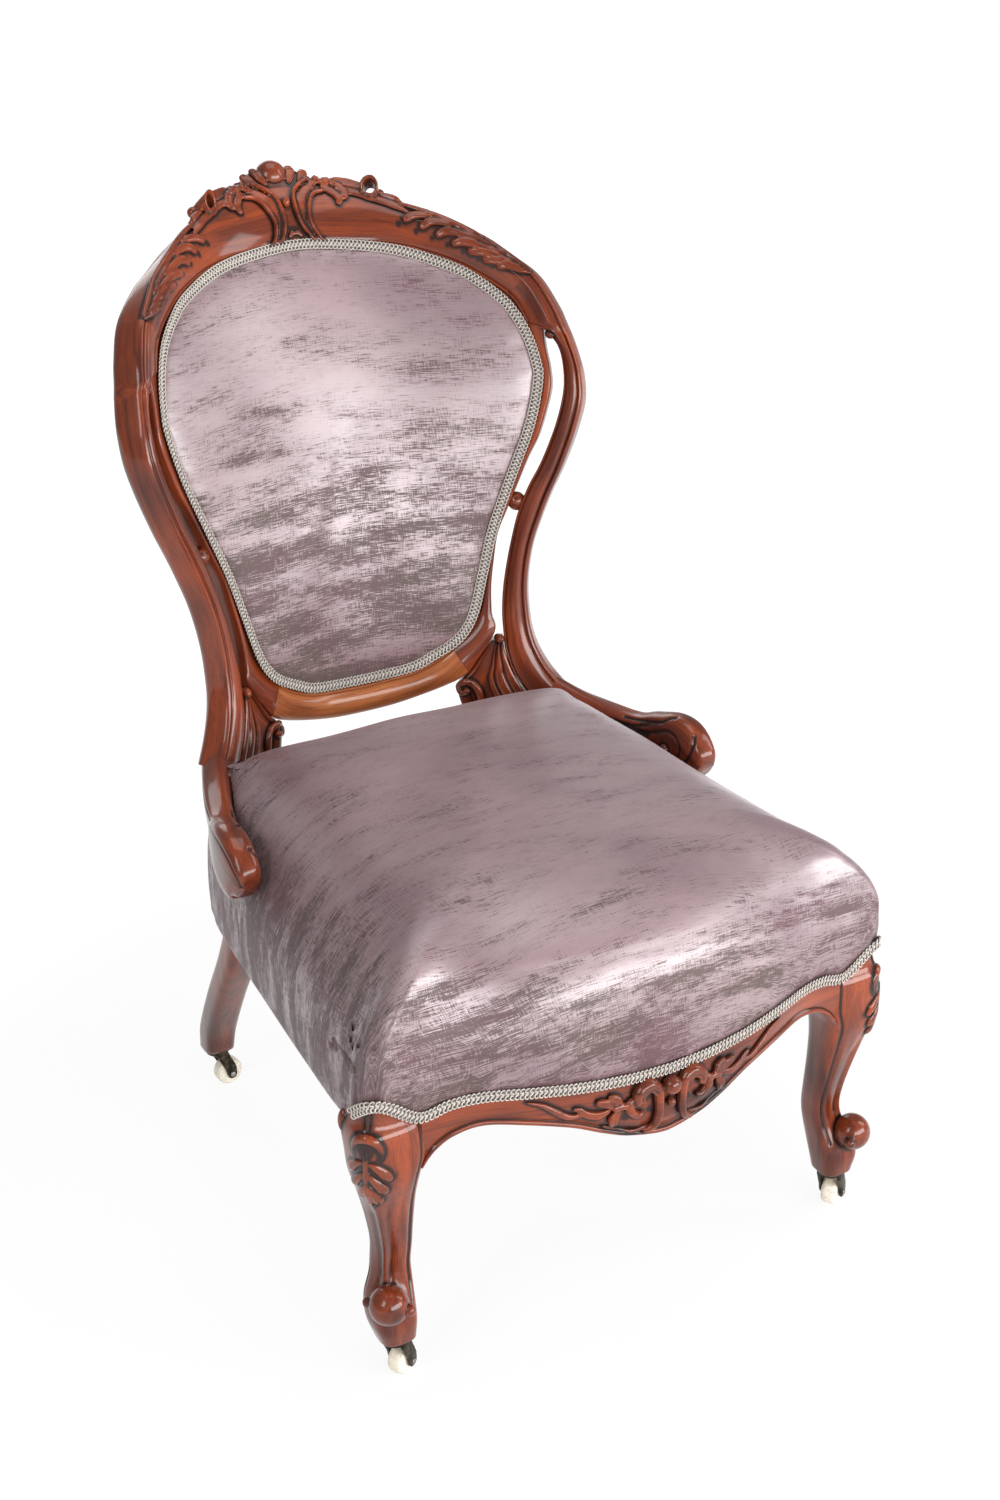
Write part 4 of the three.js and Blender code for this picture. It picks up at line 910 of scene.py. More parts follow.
# %% Strokes of the crest
def crest_xz(along_share, across_share):
    """A place on the right half of the crest: along it from the middle, and across from the pad."""
    at = along_share * (len(crest_inner) - 1)
    steps = np.arange(len(crest_inner))
    inner = [np.interp(at, steps, crest_inner[:, i]) for i in (0, 1)]
    outer = [np.interp(at, steps, crest_outer[:, i]) for i in (0, 1)]
    return [a + (b - a) * across_share for a, b in zip(inner, outer)]


def laid(tree, xz, widths, rise, scoop, lift, base, side=1):
    """A stroke laid on wood that faces the sitter, through places given as (x, z)."""
    found = []
    for x, z in spline(xz, 3):
        aim = unit(on_back(side * x, z) - on_back(side * x, z, 0.01))
        hit, normal = settle(tree, on_back(side * x, z, base), aim)
        found.append((hit, -aim if np.dot(normal, -aim) < 0.3 else normal))
    return stroke_through(found, widths, rise, scoop, lift)


def in_metres(points):
    return [(x * MM, z * MM) for x, z in points]


def on_crest(points, widths, rise, scoop, lift, base, side):
    """A stroke on the crest, with its lengths in millimetres."""
    half_widths = [w * MM for w in widths]
    return laid(crest_tree, in_metres(points), half_widths, rise, scoop, lift * MM, base * MM, side)


band_line = [(40, 915), (28, 910), (18, 902), (14, 892), (15, 882), (22, 873)]
scroll_outer = [(37, 921), (22, 915), (11, 906), (8, 893), (10, 882), (17, 872), (22, 869)]
scroll_inner = [(47, 908), (34, 906), (25, 898), (20, 887), (22, 878), (27, 871), (33, 870)]
petal_widths = (2.0, 5.0, 6.0, 4.4)
# Places, half-widths, height as a share of the width, scoop, lift, and the level they are dropped from
crest_marks = [
    (band_line, (4.4, 5.8, 5.8, 5.4, 4.6, 3.6), 0.5, 0.3, 0, 7),
    (scroll_outer, (1.6, 2.4, 2.4, 2.3, 2.0, 1.9, 1.7), 1.5, 0, 2.0, 7),
    (scroll_inner, (1.8, 2.4, 2.4, 2.2, 2.0, 1.9, 1.7), 1.5, 0, 2.0, 7),
    ([(40, 921), (48, 917), (58, 914), (66, 906), (63, 899)], (3, 5.0, 5.4, 4.6, 3.4), 0.9, 0.45, 1.5, 7),
    ([(44, 913), (52, 908), (58, 901), (55, 895)], (2.4, 4.2, 4.2, 2.8), 0.9, 0.4, 1.0, 7),
    ([(46, 918), (60, 917), (74, 915), (90, 911)], (3, 6.6, 6.8, 5.0), 0.75, 0.45, 2.5, 2),
    ([(58, 909), (70, 907), (80, 905), (90, 899)], (2, 4.4, 4.4, 2.4), 0.85, 0.35, 0.5, 4),
    ([(84, 901), (97, 899), (110, 894), (124, 886)], (2.4, 4.4, 4.2, 1.6), 0.85, 0.4, 0.5, 7),
    ([(100, 905), (112, 901), (124, 894)], (1.8, 3.4, 1.6), 0.85, 0, 0.5, 7),
    ([(8, 873), (3, 877), (0, 875)], (2.0, 3.0, 2.4), 0.9, 0, 0, 7),
    ([(12, 916), (18, 925), (21, 934)], petal_widths, 0.7, 0.4, 0.5, 4),
    ([(22, 914), (30, 922), (35, 930)], petal_widths, 0.7, 0.4, 0.5, 4),
    ([(32, 913), (41, 918), (49, 922)], petal_widths, 0.7, 0.4, 0.5, 4),
]
print(len(crest_marks), "strokes stand on each half of the crest's mount")

# %% Leaves on the shoulders
lobe_shares = [
    [(0.76, 0.96), (0.64, 0.92), (0.55, 0.84), (0.50, 0.69)],
    [(0.82, 0.96), (0.70, 0.91), (0.61, 0.82), (0.56, 0.66)],
    [(0.87, 0.96), (0.76, 0.88), (0.67, 0.78), (0.62, 0.63)],
    [(0.92, 0.96), (0.81, 0.86), (0.73, 0.76), (0.68, 0.62)],
    [(0.96, 0.96), (0.87, 0.86), (0.79, 0.76), (0.74, 0.63)],
    [(0.99, 0.96), (0.92, 0.87), (0.85, 0.77), (0.80, 0.66)],
    [(1.0, 0.96), (0.96, 0.88), (0.90, 0.80), (0.86, 0.70)],
]
stem_shares = [(0.44, 0.92), (0.55, 0.975), (0.75, 0.985), (0.9, 0.985), (1.0, 0.98)]
lobe_widths = [0.0012, 0.0024, 0.0034, 0.0043, 0.0047, 0.0036]
lobe_rise, lobe_scoop, lobe_lift = 1.05, 0.45, 0.0008
stem_widths, stem_rise = [0.002, 0.0034, 0.0034, 0.0028, 0.0018], 0.9
lobe_base, stem_base, eye_level, eye_radius, eye_shift_shares = 0.007, 0.006, 0.0075, 0.0030, (0.012, 0.045)


def shoulder_leaves(side):
    """The strokes of one shoulder, and spots of painted shade for the eyes between its lobes."""
    strokes, eyes = [], []
    for lobe in lobe_shares:
        places = [crest_xz(*place) for place in lobe]
        strokes.append(laid(crest_tree, places, lobe_widths, lobe_rise, lobe_scoop, lobe_lift, lobe_base, side))
        x, z = crest_xz(lobe[3][0] - eye_shift_shares[0], lobe[3][1] - eye_shift_shares[1])
        eyes.append((on_back(side * x, z, eye_level), eye_radius))
    stem = [crest_xz(*place) for place in stem_shares]
    strokes.append(laid(crest_tree, stem, stem_widths, stem_rise, 0, 0, stem_base, side))
    return strokes, eyes


print(len(lobe_shares), "lobes flow down each shoulder")

# %% Carve the crest
finial_place, finial_radius = on_back(0, 0.9280), 0.0163
drop_place, drop_radius, drop_squash = on_back(0, 0.900, 0.0095), 0.0052, (0.85, 0.8, 1.15)
curl_place = on_back(0.094, 0.9075, 0.006)
curl_aim = unit(on_back(0.08, 0.88, 0.01) - on_back(0.08, 0.88)) + (-0.25, 0, 0.15)
curl_radius, curl_wall, curl_depth, curl_lean, curl_mouth = 0.0118, 0.0030, 0.021, 0.1, 0.0068
curl_bead, curl_bead_radius = np.array([0.011, 0.003, -0.005]), 0.0062
# Spots of painted shade stand for the deep eyes of the scrolls and the mouth of each curl.
scroll_eye, scroll_eye_radius = on_back(0.011, 0.873, 0.006), 0.0035
foot_eye, foot_eye_radius = on_back(0, 0.880, 0.006), 0.004
crest_strokes = [ball(finial_place, finial_radius, rows=26, sides=40)]
crest_strokes.append(ball(drop_place, drop_radius, drop_squash))
crest_shaded_pits = [(foot_eye, foot_eye_radius)]
for side in (1, -1):
    flip = np.array([side, 1, 1])
    leaves, eyes = shoulder_leaves(side)
    crest_strokes += [on_crest(*mark, side) for mark in crest_marks] + leaves
    crest_strokes += [
        hollow_curl(curl_place * flip, curl_aim * flip, (curl_lean * side, curl_lean, 1), curl_radius, curl_wall,
                    curl_depth, side=side),
        ball((curl_place + curl_bead) * flip, curl_bead_radius),
    ]
    crest_shaded_pits += [*eyes, (curl_place * flip, curl_mouth), (scroll_eye * flip, scroll_eye_radius)]
crest = carved("carved_crest_rail", crest_board, crest_strokes, 0.00105, shaded_pits=crest_shaded_pits)
finish_piece(crest, walnut, nodes=["crest_rail"])
print("crest rail", len(crest.data.polygons), "faces")

# %% [markdown]
# ## Stiles, inner stiles and lower rail
# Each stile is an S in two directions. Its front has a wide round between a thin fillet and an outer
# bead. The inner stile shows only as a slim edge outside the braid, and the slot between them is open.

# %% Templates of the back's boards
stile_shares = [
    [[0.712, 0.802], [0.866, 0.876]], [[0.738, 0.786], [0.916, 0.816]], [[0.754, 0.774], [0.934, 0.778]],
    [[0.866, 0.766], [0.945, 0.7515]], [[0.9, 0.736], [0.956, 0.714]], [[0.908, 0.696], [0.962, 0.676]],
    [[0.898, 0.644], [0.954, 0.624]], [[0.86, 0.576], [0.918, 0.56]], [[0.8, 0.5], [0.866, 0.489]],
    [[0.744, 0.444], [0.818, 0.433]], [[0.7, 0.39], [0.778, 0.381]], [[0.668, 0.336], [0.742, 0.328]],
    [[0.64, 0.28], [0.718, 0.274]], [[0.62, 0.23], [0.706, 0.227]], [[0.608, 0.18], [0.704, 0.182]],
    [[0.606, 0.136], [0.708, 0.142]], [[0.608, 0.096], [0.724, 0.103]], [[0.628, 0.05], [0.757, 0.062]],
    [[0.672, 0.004], [0.802, 0.024]],
]
slip_shares = [
    [[0.75, 0.781], [0.865, 0.772]], [[0.76, 0.742], [0.864, 0.73]], [[0.776, 0.696], [0.868, 0.69]],
    [[0.772, 0.66], [0.864, 0.652]], [[0.748, 0.614], [0.84, 0.606]], [[0.708, 0.556], [0.802, 0.55]],
    [[0.672, 0.512], [0.76, 0.506]], [[0.628, 0.46], [0.716, 0.454]], [[0.576, 0.4], [0.664, 0.394]],
    [[0.54, 0.352], [0.624, 0.346]], [[0.516, 0.298], [0.6, 0.292]], [[0.49, 0.24], [0.58, 0.234]],
    [[0.464, 0.19], [0.572, 0.176]], [[0.428, 0.16], [0.574, 0.134]], [[0.37, 0.141], [0.466, 0.049]],
]
lower_half_shares = [
    [[0, 0.09], [0, -0.012]], [[0.1, 0.092], [0.14, -0.008]], [[0.208, 0.098], [0.28, 0.007]],
    [[0.303, 0.117], [0.4, 0.028]], [[0.3695, 0.1405], [0.4653, 0.0486]],
]
slip_section = [
    (0, 0, -3), (0, 0.6, -0.4), (0, 2, 0), (0, 8, 0), (0, 19.6, 0), (0, 20.2, 0.2), (0, 20.6, 1.2),
    (1, -1.6, 1.7), (1, -0.7, 1.0), (1, -0.1, -0.6), (1, 0, -3),
    (1, 0, -12), (1, -1.5, -19), (0.5, 0, -22), (0, 1.5, -19), (0, 0, -12),
]
print(len(stile_shares), "pairs of points draw a stile, and", len(slip_shares), "an inner stile")

# %% Cut the stiles and the lower rail
closed_pairs, per_pair = 3, 10
above_scarf = crest_shares[-2]
inner_shares = np.array([pair[0] for pair in stile_shares])
stile_inner = from_shares(np.vstack([
    spline([above_scarf[0], *inner_shares[:closed_pairs]], per_pair)[per_pair:-1],
    np.linspace(inner_shares[closed_pairs - 1], inner_shares[closed_pairs], per_pair, endpoint=False),
    spline(inner_shares[closed_pairs:], per_pair)]))
stile_outer = edges_of([above_scarf, *stile_shares], per_pair)[1][per_pair:]
stile_full, tacked_full = full_section(stile_section), full_section(tacked_section)
turning = np.clip(np.arange(len(stile_inner)) / per_pair - (closed_pairs - 1), 0, 1)
turning = (turning ** 2 * (3 - 2 * turning))[:, None, None]
stile_sections = tacked_full * (1 - turning) + stile_full * turning
stile = rings_solid(*board_rings(stile_inner, stile_outer, stile_sections))
slot_top, slot_foot = from_shares([[0.885, 0.756], [0.59, 0.124]])
bead_radius, bead_sunk, fine_voxel = 0.005, -0.001, 0.0006
slot_curl = [ball(on_back(*slot_top, bead_sunk), bead_radius, (1, 1.5, 1))]
slip = rings_solid(*board_rings(*edges_of(slip_shares, 8), slip_section))
carved_pair("moulded_outer_stile", "outer_stile", stile, slot_curl, fine_voxel)
carved_pair("moulded_inner_stile", "inner_stile", slip)
lower_rail = carved("moulded_lower_rail", board(across_pairs(lower_half_shares), lower_section, 14))
# The lower rail takes the lighter walnut, a painted highlight.
finish_piece(lower_rail, painted_highlight_walnut, nodes=["back_lower_rail"])
print("lower rail", len(lower_rail.data.polygons), "faces")

# %% [markdown]
# ## Hip brackets and slot links
# Below the slot, reeds run on down into the arm beside a sunk panel, and a C-scroll with a bead in its
# eye closes the corner under the lower rail. A small block with an eye links the stiles half-way up.

# %% Template of the brackets
bracket_shares = [
    [[0.56, 0.117], [0.602, 0.127]], [[0.512, 0.082], [0.606, 0.096]], [[0.472, 0.053], [0.618, 0.068]],
    [[0.434, 0.032], [0.63, 0.047]], [[0.416, 0.01], [0.652, 0.02]], [[0.43, -0.03], [0.69, -0.02]],
    [[0.47, -0.075], [0.7, -0.065]],
]
bracket_section = [
    (0, 0, -4), (0, 0.5, -1.2), (0.04, 0.8, 0.6), (0.09, 0.8, 1.4), (0.14, 0.8, 0.6), (0.17, 0.8, -2.0),
    (0.2, 0.8, -2.4), (0.34, 0, -2.4), (0.5, 0, -2.4), (0.53, 0, -1.8), (0.55, 0, 0.2), (0.58, 0, 0.8),
    (0.61, 0, 0.2), (0.63, 0, -1.6), (0.66, 0, -0.6), (0.7, 0, 1.2), (0.75, 0, 1.8), (0.8, 0, 1.0),
    (0.83, 0, -1.0), (0.86, 0, 0.2), (0.9, 0, 1.8), (0.95, 0, 1.9), (1, 0, 0.6), (1, 0, -3),
    (1, 0, -12), (1, -1, -20), (0.5, 0, -24), (0, 1, -20), (0, 0, -12),
]
bracket_section = np.vstack([finer(bracket_section[:24]), bracket_section[24:]])
bracket_board = rings_solid(*board_rings(*edges_of(bracket_shares, 14), bracket_section))
print("the bracket's board has", len(bracket_board[1]), "faces")

# %% Cut the brackets and links
scroll_places = [(112, 402), (106, 403), (105, 410), (112, 415), (121, 409), (125, 398), (125, 384), (124, 366)]
scroll_widths = [0.002, 0.003, 0.0036, 0.0042, 0.0042, 0.004, 0.004]
scroll_rise, scroll_lift, scroll_base = 0.9, 0.001, 0.0015
scroll_bead, scroll_bead_radius = on_back(0.112, 0.4045, 0.002), 0.0042
bracket_strokes = [
    laid(bvh_of(bracket_board), in_metres(scroll_places), scroll_widths, scroll_rise, 0, scroll_lift,
         scroll_base),
    ball(scroll_bead, scroll_bead_radius),
    ball(on_back(*slot_foot), bead_radius, (1, 1.6, 1)),
]
carved_pair("reeded_hip_bracket", "hip_bracket", bracket_board, bracket_strokes)
link_x, link_z = from_shares([0.7, 0.414])
link_depth, link_radius, link_squash = -0.008, 0.0092, (1.05, 1.0, 1.1)
eye_out, link_eye_radius = 0.0005, 0.0040
eye_groove, eye_groove_half = 0.0008, 0.0009
link = ball(on_back(link_x, link_z, link_depth), link_radius, link_squash, 22, 30)
eye_turns = np.linspace(0, 2 * math.pi, 24)
eye_circle = np.stack([np.cos(eye_turns), np.full(24, 0.1), np.sin(eye_turns)], 1)
eye_ring = on_back(link_x, link_z, eye_out) + link_eye_radius * eye_circle
carved_pair("eyed_slot_link", "slot_link", link, lines=[(eye_ring, eye_groove, eye_groove_half)])

# %% [markdown]
# ## Arms
# Each arm leaves the foot of the stile, runs forward along the seat and swells into a knuckle that turns
# down. A groove follows it on the inner face and winds into a small eye.

# %% Sweep of the arm
arm_reach, arm_height, arm_thick, arm_sunk, arm_square = 0.200, 0.030, 0.028, 0.012, 0.62
arm_shares = [
    (0, 0, 0, 1.04, 1.1, 1), (0.09, -0.2, -0.045, 1, 1.02, 0.6), (0.165, -0.385, -0.065, 0.98, 0.97, 0.25),
    (0.222, -0.56, -0.067, 1, 0.97, 0), (0.265, -0.68, -0.06, 1.45, 1.05, 0), (0.292, -0.8, -0.068, 2.05, 1.13, 0),
    (0.305, -0.91, -0.085, 2.2, 1.13, 0), (0.308, -1.0, -0.115, 1.7, 1.05, 0),
    (0.308, -1.045, -0.145, 0.85, 0.75, 0),
]
foot_inner, foot_outer = from_shares(stile_shares[-1])
foot_middle = (foot_inner + foot_outer) / 2
foot_a, foot_b = on_back(*foot_inner), on_back(*foot_outer)
foot_across = unit(foot_b - foot_a)
foot_out = unit(on_back(*foot_middle, 0.01) - on_back(*foot_middle))
arm_start = (foot_a + foot_b) / 2 - foot_out * arm_sunk
arm_rows = spline(arm_shares, 24)
arm_line = arm_rows[:, :3] * arm_reach + arm_start
arm_angles = np.linspace(0, 2 * math.pi, 112, endpoint=False)


def rounded_unit(angles, power):
    """A unit circle, the squarer the smaller the power."""
    c, s = np.cos(angles), np.sin(angles)
    return np.sign(c) * np.abs(c) ** power, np.sign(s) * np.abs(s) ** power


arm_rings, arm_grain = [], []
for place, tangent, row in zip(arm_line, unit(np.gradient(arm_line, axis=0)), arm_rows):
    up = unit(np.array([0, 0, 1.0]) * (1 - row[5]) + foot_across * row[5])
    up = unit(up - tangent * np.dot(up, tangent))
    out = np.cross(up, tangent)
    a, b = rounded_unit(arm_angles, arm_square)
    half_out, half_up = row[4] * arm_thick / 2, row[3] * arm_height / 2
    arm_rings.append(place + np.outer(a * half_out, out) + np.outer(b * half_up, up))
    arm_grain.append(np.stack([a * half_out, b * half_up, np.full_like(a, -row[1] * arm_reach)], -1))
arm_body = rings_solid(arm_rings, arm_grain)
arm_tree = bvh_of(arm_body)
print("an arm is", len(arm_rings), "rings long")


# %% Grooves and volute of the arm
def at_turn(ring, turn):
    """The point of a ring at a turn from its start."""
    return ring[int(round(turn / (2 * math.pi) * len(ring))) % len(ring)]


def down_arm(height_at, inner=True, until=1.01):
    """A line down the arm's inner or outer face, at a share of its height for each place along it."""
    line = []
    for ring, share in zip(arm_rings, np.linspace(0, 1, len(arm_rings))):
        if share < until:
            height = height_at(share)
            turn = math.asin(abs(height) ** (1 / arm_square) * np.sign(height))
            line.append(at_turn(ring, math.pi - turn if inner else turn))
    return np.array(line)


def on_inner_face(yz):
    """A place of the arm's inner face, given from the side in millimetres."""
    return settle(arm_tree, (seen_from, yz[0] * MM + seat_datum, yz[1] * MM), (1.0, 0.0, 0.0), seen_reach)[0]


upper_curl = [(60, 404), (41, 406), (13, 412), (0, 421), (-14, 424), (-30, 419), (-39, 407), (-36, 391), (-24, 379),
              (-8, 374), (6, 376)]
lower_curl = [(60, 395), (29, 397), (13, 402), (-1, 408), (-13, 406), (-21, 398), (-20, 387), (-12, 380), (0, 379),
              (8, 384)]
seen_from, seen_reach = 0.2, 0.08
groove_stops, groove_until = [0, 0.12, 0.3, 0.5], 0.5
upper_height_shares, lower_height_shares = [-0.75, -0.35, 0.3, 0.55], [-0.97, -0.8, -0.3, 0.02]
bead_height_share = 0.72
upper_groove = down_arm(lambda share: np.interp(share, groove_stops, upper_height_shares), until=groove_until)
lower_groove = down_arm(lambda share: np.interp(share, groove_stops, lower_height_shares), until=groove_until)
outer_bead = down_arm(lambda share: bead_height_share, inner=False)
# Each groove is a line, its depth and its half width
arm_grooves = [
    (upper_groove, 0.0015, 0.0015), (lower_groove, 0.0012, 0.0012),
    ([on_inner_face(place) for place in spline(upper_curl, 4)], 0.0022, 0.0017),
    ([on_inner_face(place) for place in spline(lower_curl, 4)], 0.0015, 0.0013),
    (outer_bead, 0.0008, 0.0008),
]
arm_eye, arm_eye_radius, arm_eye_squash = (1, 387), 0.0056, (0.8, 1, 1)
arm_eye_bead = [ball(on_inner_face(arm_eye), arm_eye_radius, arm_eye_squash)]
carved_pair("scrolled_arm", "arm", arm_body, arm_eye_bead, fine_voxel, arm_grooves)

# %% [markdown]
# ## Front legs
# A cabriole leg swells at the knee, draws in above the ankle and kicks forward over a ball. A rolled leaf
# and its drop are carved on the corner of the knee, and shallow flutes run down the shin.

# %% Cabriole legs
leg_foot, leg_top, knee_width, knee_x, knee_y = 0.050, 0.328, 0.070, 0.247, seat_datum - 0.287
front_leg_shares = [
    (1, -0.09, -0.02, 0.66, 0.6), (0.93, -0.09, -0.02, 0.66, 0.6), (0.905, -0.08, -0.02, 0.72, 0.66),
    (0.835, -0.06, -0.03, 0.865, 0.77), (0.79, -0.035, 0.015, 0.94, 0.86), (0.7, -0.045, 0.06, 0.93, 0.83),
    (0.63, -0.015, 0.075, 0.82, 0.78), (0.54, -0.045, 0.045, 0.67, 0.66), (0.43, -0.095, 0, 0.55, 0.56),
    (0.325, -0.135, -0.045, 0.48, 0.49), (0.25, -0.135, -0.075, 0.46, 0.48), (0.195, -0.115, -0.04, 0.49, 0.51),
    (0.125, -0.045, 0.055, 0.58, 0.61), (0.065, -0.03, 0.13, 0.58, 0.6), (0, -0.055, 0.17, 0.48, 0.48),
]
leg_rows = spline(front_leg_shares, 12)
leg_angles = np.linspace(0, 2 * math.pi, 120, endpoint=False)
corner_turn = -math.pi / 4
leg_square, flute_depth, flute_count = 0.62, 0.0034, 3.2
leg_rings, leg_grain = [], []
for z_share, x_share, y_share, wide, deep in leg_rows:
    a, b = rounded_unit(leg_angles, leg_square)
    z = leg_foot + z_share * (leg_top - leg_foot)
    off_corner = (leg_angles - corner_turn + math.pi) % (2 * math.pi) - math.pi
    shin = np.clip((0.60 - z_share) / 0.12, 0, 1) * np.clip((z_share - 0.13) / 0.1, 0, 1)
    near = np.clip((1.35 - np.abs(off_corner)) / 0.25, 0, 1)
    wave = (1 - np.cos(flute_count * 2 * off_corner)) / 2
    cut_in = 1 - (flute_depth / (wide * knee_width / 2)) * shin * near * wave
    x = knee_x + x_share * knee_width + a * cut_in * wide * knee_width / 2
    y = knee_y - y_share * knee_width + b * cut_in * deep * knee_width / 2
    leg_rings.append(np.stack([x, y, np.full_like(x, z)], -1))
    leg_grain.append(np.stack([x - knee_x, y - knee_y, np.full_like(x, z)], -1))
leg_body = rings_solid(leg_rings, leg_grain)
leg_tree = bvh_of(leg_body)
print("a front leg is", len(leg_rings), "rings tall")

# %% Strokes of the knee
knee_out = unit(np.array([0.72, -0.69, 0.0]))
knee_along = np.array([0.69, 0.72, 0.0])
knee_corner = np.array([knee_x + 0.012, knee_y - 0.012, 0.0])


def knee_place(across, height):
    """The knee's surface and its normal, at a place in millimetres seen from outside its corner."""
    start = knee_corner + knee_along * across * MM + np.array([0, 0, height * MM]) + knee_out * 0.02
    return settle(leg_tree, start, -knee_out)


def on_knee(points, widths, rise, scoop, lift):
    """A stroke on the knee's corner, with its lengths in millimetres."""
    found = [knee_place(*point) for point in spline(points, 3)]
    return stroke_through(found, [w * MM for w in widths], rise, scoop, lift * MM)


# Places, half-widths, height as a share of the width, scoop and lift
knee_marks = [
    ([(-12, 252), (-13, 262), (-8, 271), (0, 274), (8, 271), (13, 262), (12, 252)],
     (2.4, 4.0, 5.0, 5.4, 5.0, 4.0, 2.4), 1.1, 0, 3),
    ([(-8, 260), (0, 267), (8, 260)], (1.8, 2.6, 1.8), 1.3, 0, 3.5),
    ([(0, 262), (0, 250), (0, 236), (0, 224)], (1.8, 2.8, 3.0, 1.6), 1.0, 0, 1),
    ([(0, 232), (0, 218), (0, 206), (0, 197)], (2.4, 5.2, 4.6, 1.4), 0.8, 0.45, 1),
    ([(0, 302), (0, 290), (0, 278)], (1.4, 2.0, 1.6), 0.7, 0, 0),
    ([(-17, 302), (0, 306), (17, 302)], (2.5, 7.5, 2.5), 0.6, 0, 0),
]
drop_lobes = [
    [(1, 252), (8, 248), (15, 240), (20, 232)], [(1, 242), (7, 234), (13, 225), (15, 218)],
    [(0, 230), (5, 220), (8, 212), (8, 205)],
]
drop_widths, drop_rise, drop_scoop, drop_lift = (1.6, 3.8, 5.4, 3.4), 0.8, 0.55, 0.6
# Radii of the spots of painted shade in the eyes of the drop's lobes and of the knee.
drop_eye, knee_eye = 0.0024, 0.0075
knee_strokes = [on_knee(*mark) for mark in knee_marks]
knee_shaded_pits = [(knee_place(0, 261)[0], knee_eye)]
for side in (1, -1):
    for lobe in drop_lobes:
        lobe = [(side * x, z) for x, z in lobe]
        knee_strokes.append(on_knee(lobe, drop_widths, drop_rise, drop_scoop, drop_lift))
        knee_shaded_pits.append((knee_place(lobe[2][0] - side * 2, lobe[2][1] - 9)[0], drop_eye))
print(len(knee_strokes), "strokes on a knee")

# %% Toe, borders and both legs
toe_place = np.array([knee_x + 0.11 * knee_width, knee_y - 0.36 * knee_width, leg_foot + 0.045])
toe_radius, toe_bead, toe_bead_radius, toe_bead_low = 0.018, 0.019, 0.0055, (0, 0, -0.001)
ear_place, ear_radius, ear_squash = np.array([knee_x + 0.026, knee_y + 0.012, 0.272]), 0.0075, (0.8, 0.8, 1.6)
knee_strokes += [
    ball(toe_place, toe_radius, rows=24, sides=36),
    ball(toe_place + knee_along * toe_bead + toe_bead_low, toe_bead_radius),
    ball(toe_place - knee_along * toe_bead + toe_bead_low, toe_bead_radius),
    ball(ear_place, ear_radius, ear_squash),
]
border_turns, border_top, border_foot, border_depth, border_half = (-1.32, 1.32), 0.290, 0.085, 0.0012, 0.0013
leg_borders = []
for border in border_turns:
    line = np.array([at_turn(ring, (corner_turn + border) % (2 * math.pi)) for ring in leg_rings])
    line = line[(line[:, 2] < border_top) & (line[:, 2] > border_foot)]
    leg_borders.append((line, border_depth, border_half))
carved_pair("cabriole_front_leg", "front_leg", leg_body, knee_strokes, 0.0009, leg_borders, knee_shaded_pits)

# %% [markdown]
# ## Back legs
# These are plain and raked, with a chamfer worked round on the bench.

# %% Back legs
back_foot_x, back_foot_y, back_leg_width = 0.199, seat_datum + castor_behind_datum, 0.037
back_leg_shares = [
    (0, 0, 0, 0.88), (0.09, 0.01, -0.25, 0.94), (0.26, 0.03, -1.15, 0.96), (0.43, 0.03, -2.15, 0.98),
    (0.57, 0, -2.75, 1), (0.71, -0.05, -2.9, 1.02), (0.86, -0.14, -2.4, 1), (0.99, -0.21, -1.55, 0.92),
]
back_leg_square = 0.55
back_rings = []
for z_share, x_share, y_share, wide in spline(back_leg_shares, 10):
    a, b = rounded_unit(np.linspace(0, 2 * math.pi, 48, endpoint=False), back_leg_square)
    half = wide * back_leg_width / 2
    x = back_foot_x + x_share * back_leg_width + a * half
    y = back_foot_y + y_share * back_leg_width + b * half
    back_rings.append(np.stack([x, y, np.full_like(a, leg_foot + z_share * (arm_level - leg_foot))], -1))
back_leg = rings_solid(back_rings)
carved_pair("raked_back_leg", "back_leg", back_leg)

# %% [markdown]
# ## Seat plan and front rail
# The seat is wider in front and bowed. Its plan is drawn as half an outline with the height of the braid
# at each point, and the front rail is a bowed board under it with a shaped, beaded lower edge.

# %% Plan of the seat
seat_half, seat_depth, seat_back = 0.280, 0.500, 0.145 + seat_datum
seat_top, seat_rise, seat_crown = 0.400, 0.020, 0.026
gimp_level, skirt_level, rail_drop = 0.281, 0.268, 0.068
plan_shares = [
    (0, 1.002), (0.155, 0.998), (0.31, 0.986), (0.46, 0.966), (0.6, 0.94), (0.7, 0.927), (0.8, 0.92),
    (0.9, 0.918), (0.948, 0.912), (0.976, 0.88), (0.964, 0.81), (0.932, 0.62), (0.895, 0.4),
    (0.86, 0.2), (0.825, 0.08), (0.75, 0.012), (0.4, -0.006), (0, -0.008),
]
rise_shares = [0, 0.02, 0.06, 0.11, 0.135, 0.11, 0.03, 0.3, 0.36, 0.17] + [-0.13] + [-0.19] * 7
plan_half = np.array([
    (x * seat_half, seat_back - y * seat_depth, max(gimp_level + r * rail_drop, skirt_level))
    for (x, y), r in zip(plan_shares, rise_shares)])
plan_left = plan_half[1:-1][::-1] * (-1, 1, 1)
plan_loop = spline(np.vstack([plan_half, plan_left]), 14, closed=True)
front_line = spline(plan_half[:8], 10)


def plan_front(x):
    """Depth and height of the seat's front edge at a distance from the middle."""
    return [np.interp(abs(x), front_line[:, 0], front_line[:, i]) for i in (1, 2)]


print("the seat's plan has", len(plan_loop), "points")


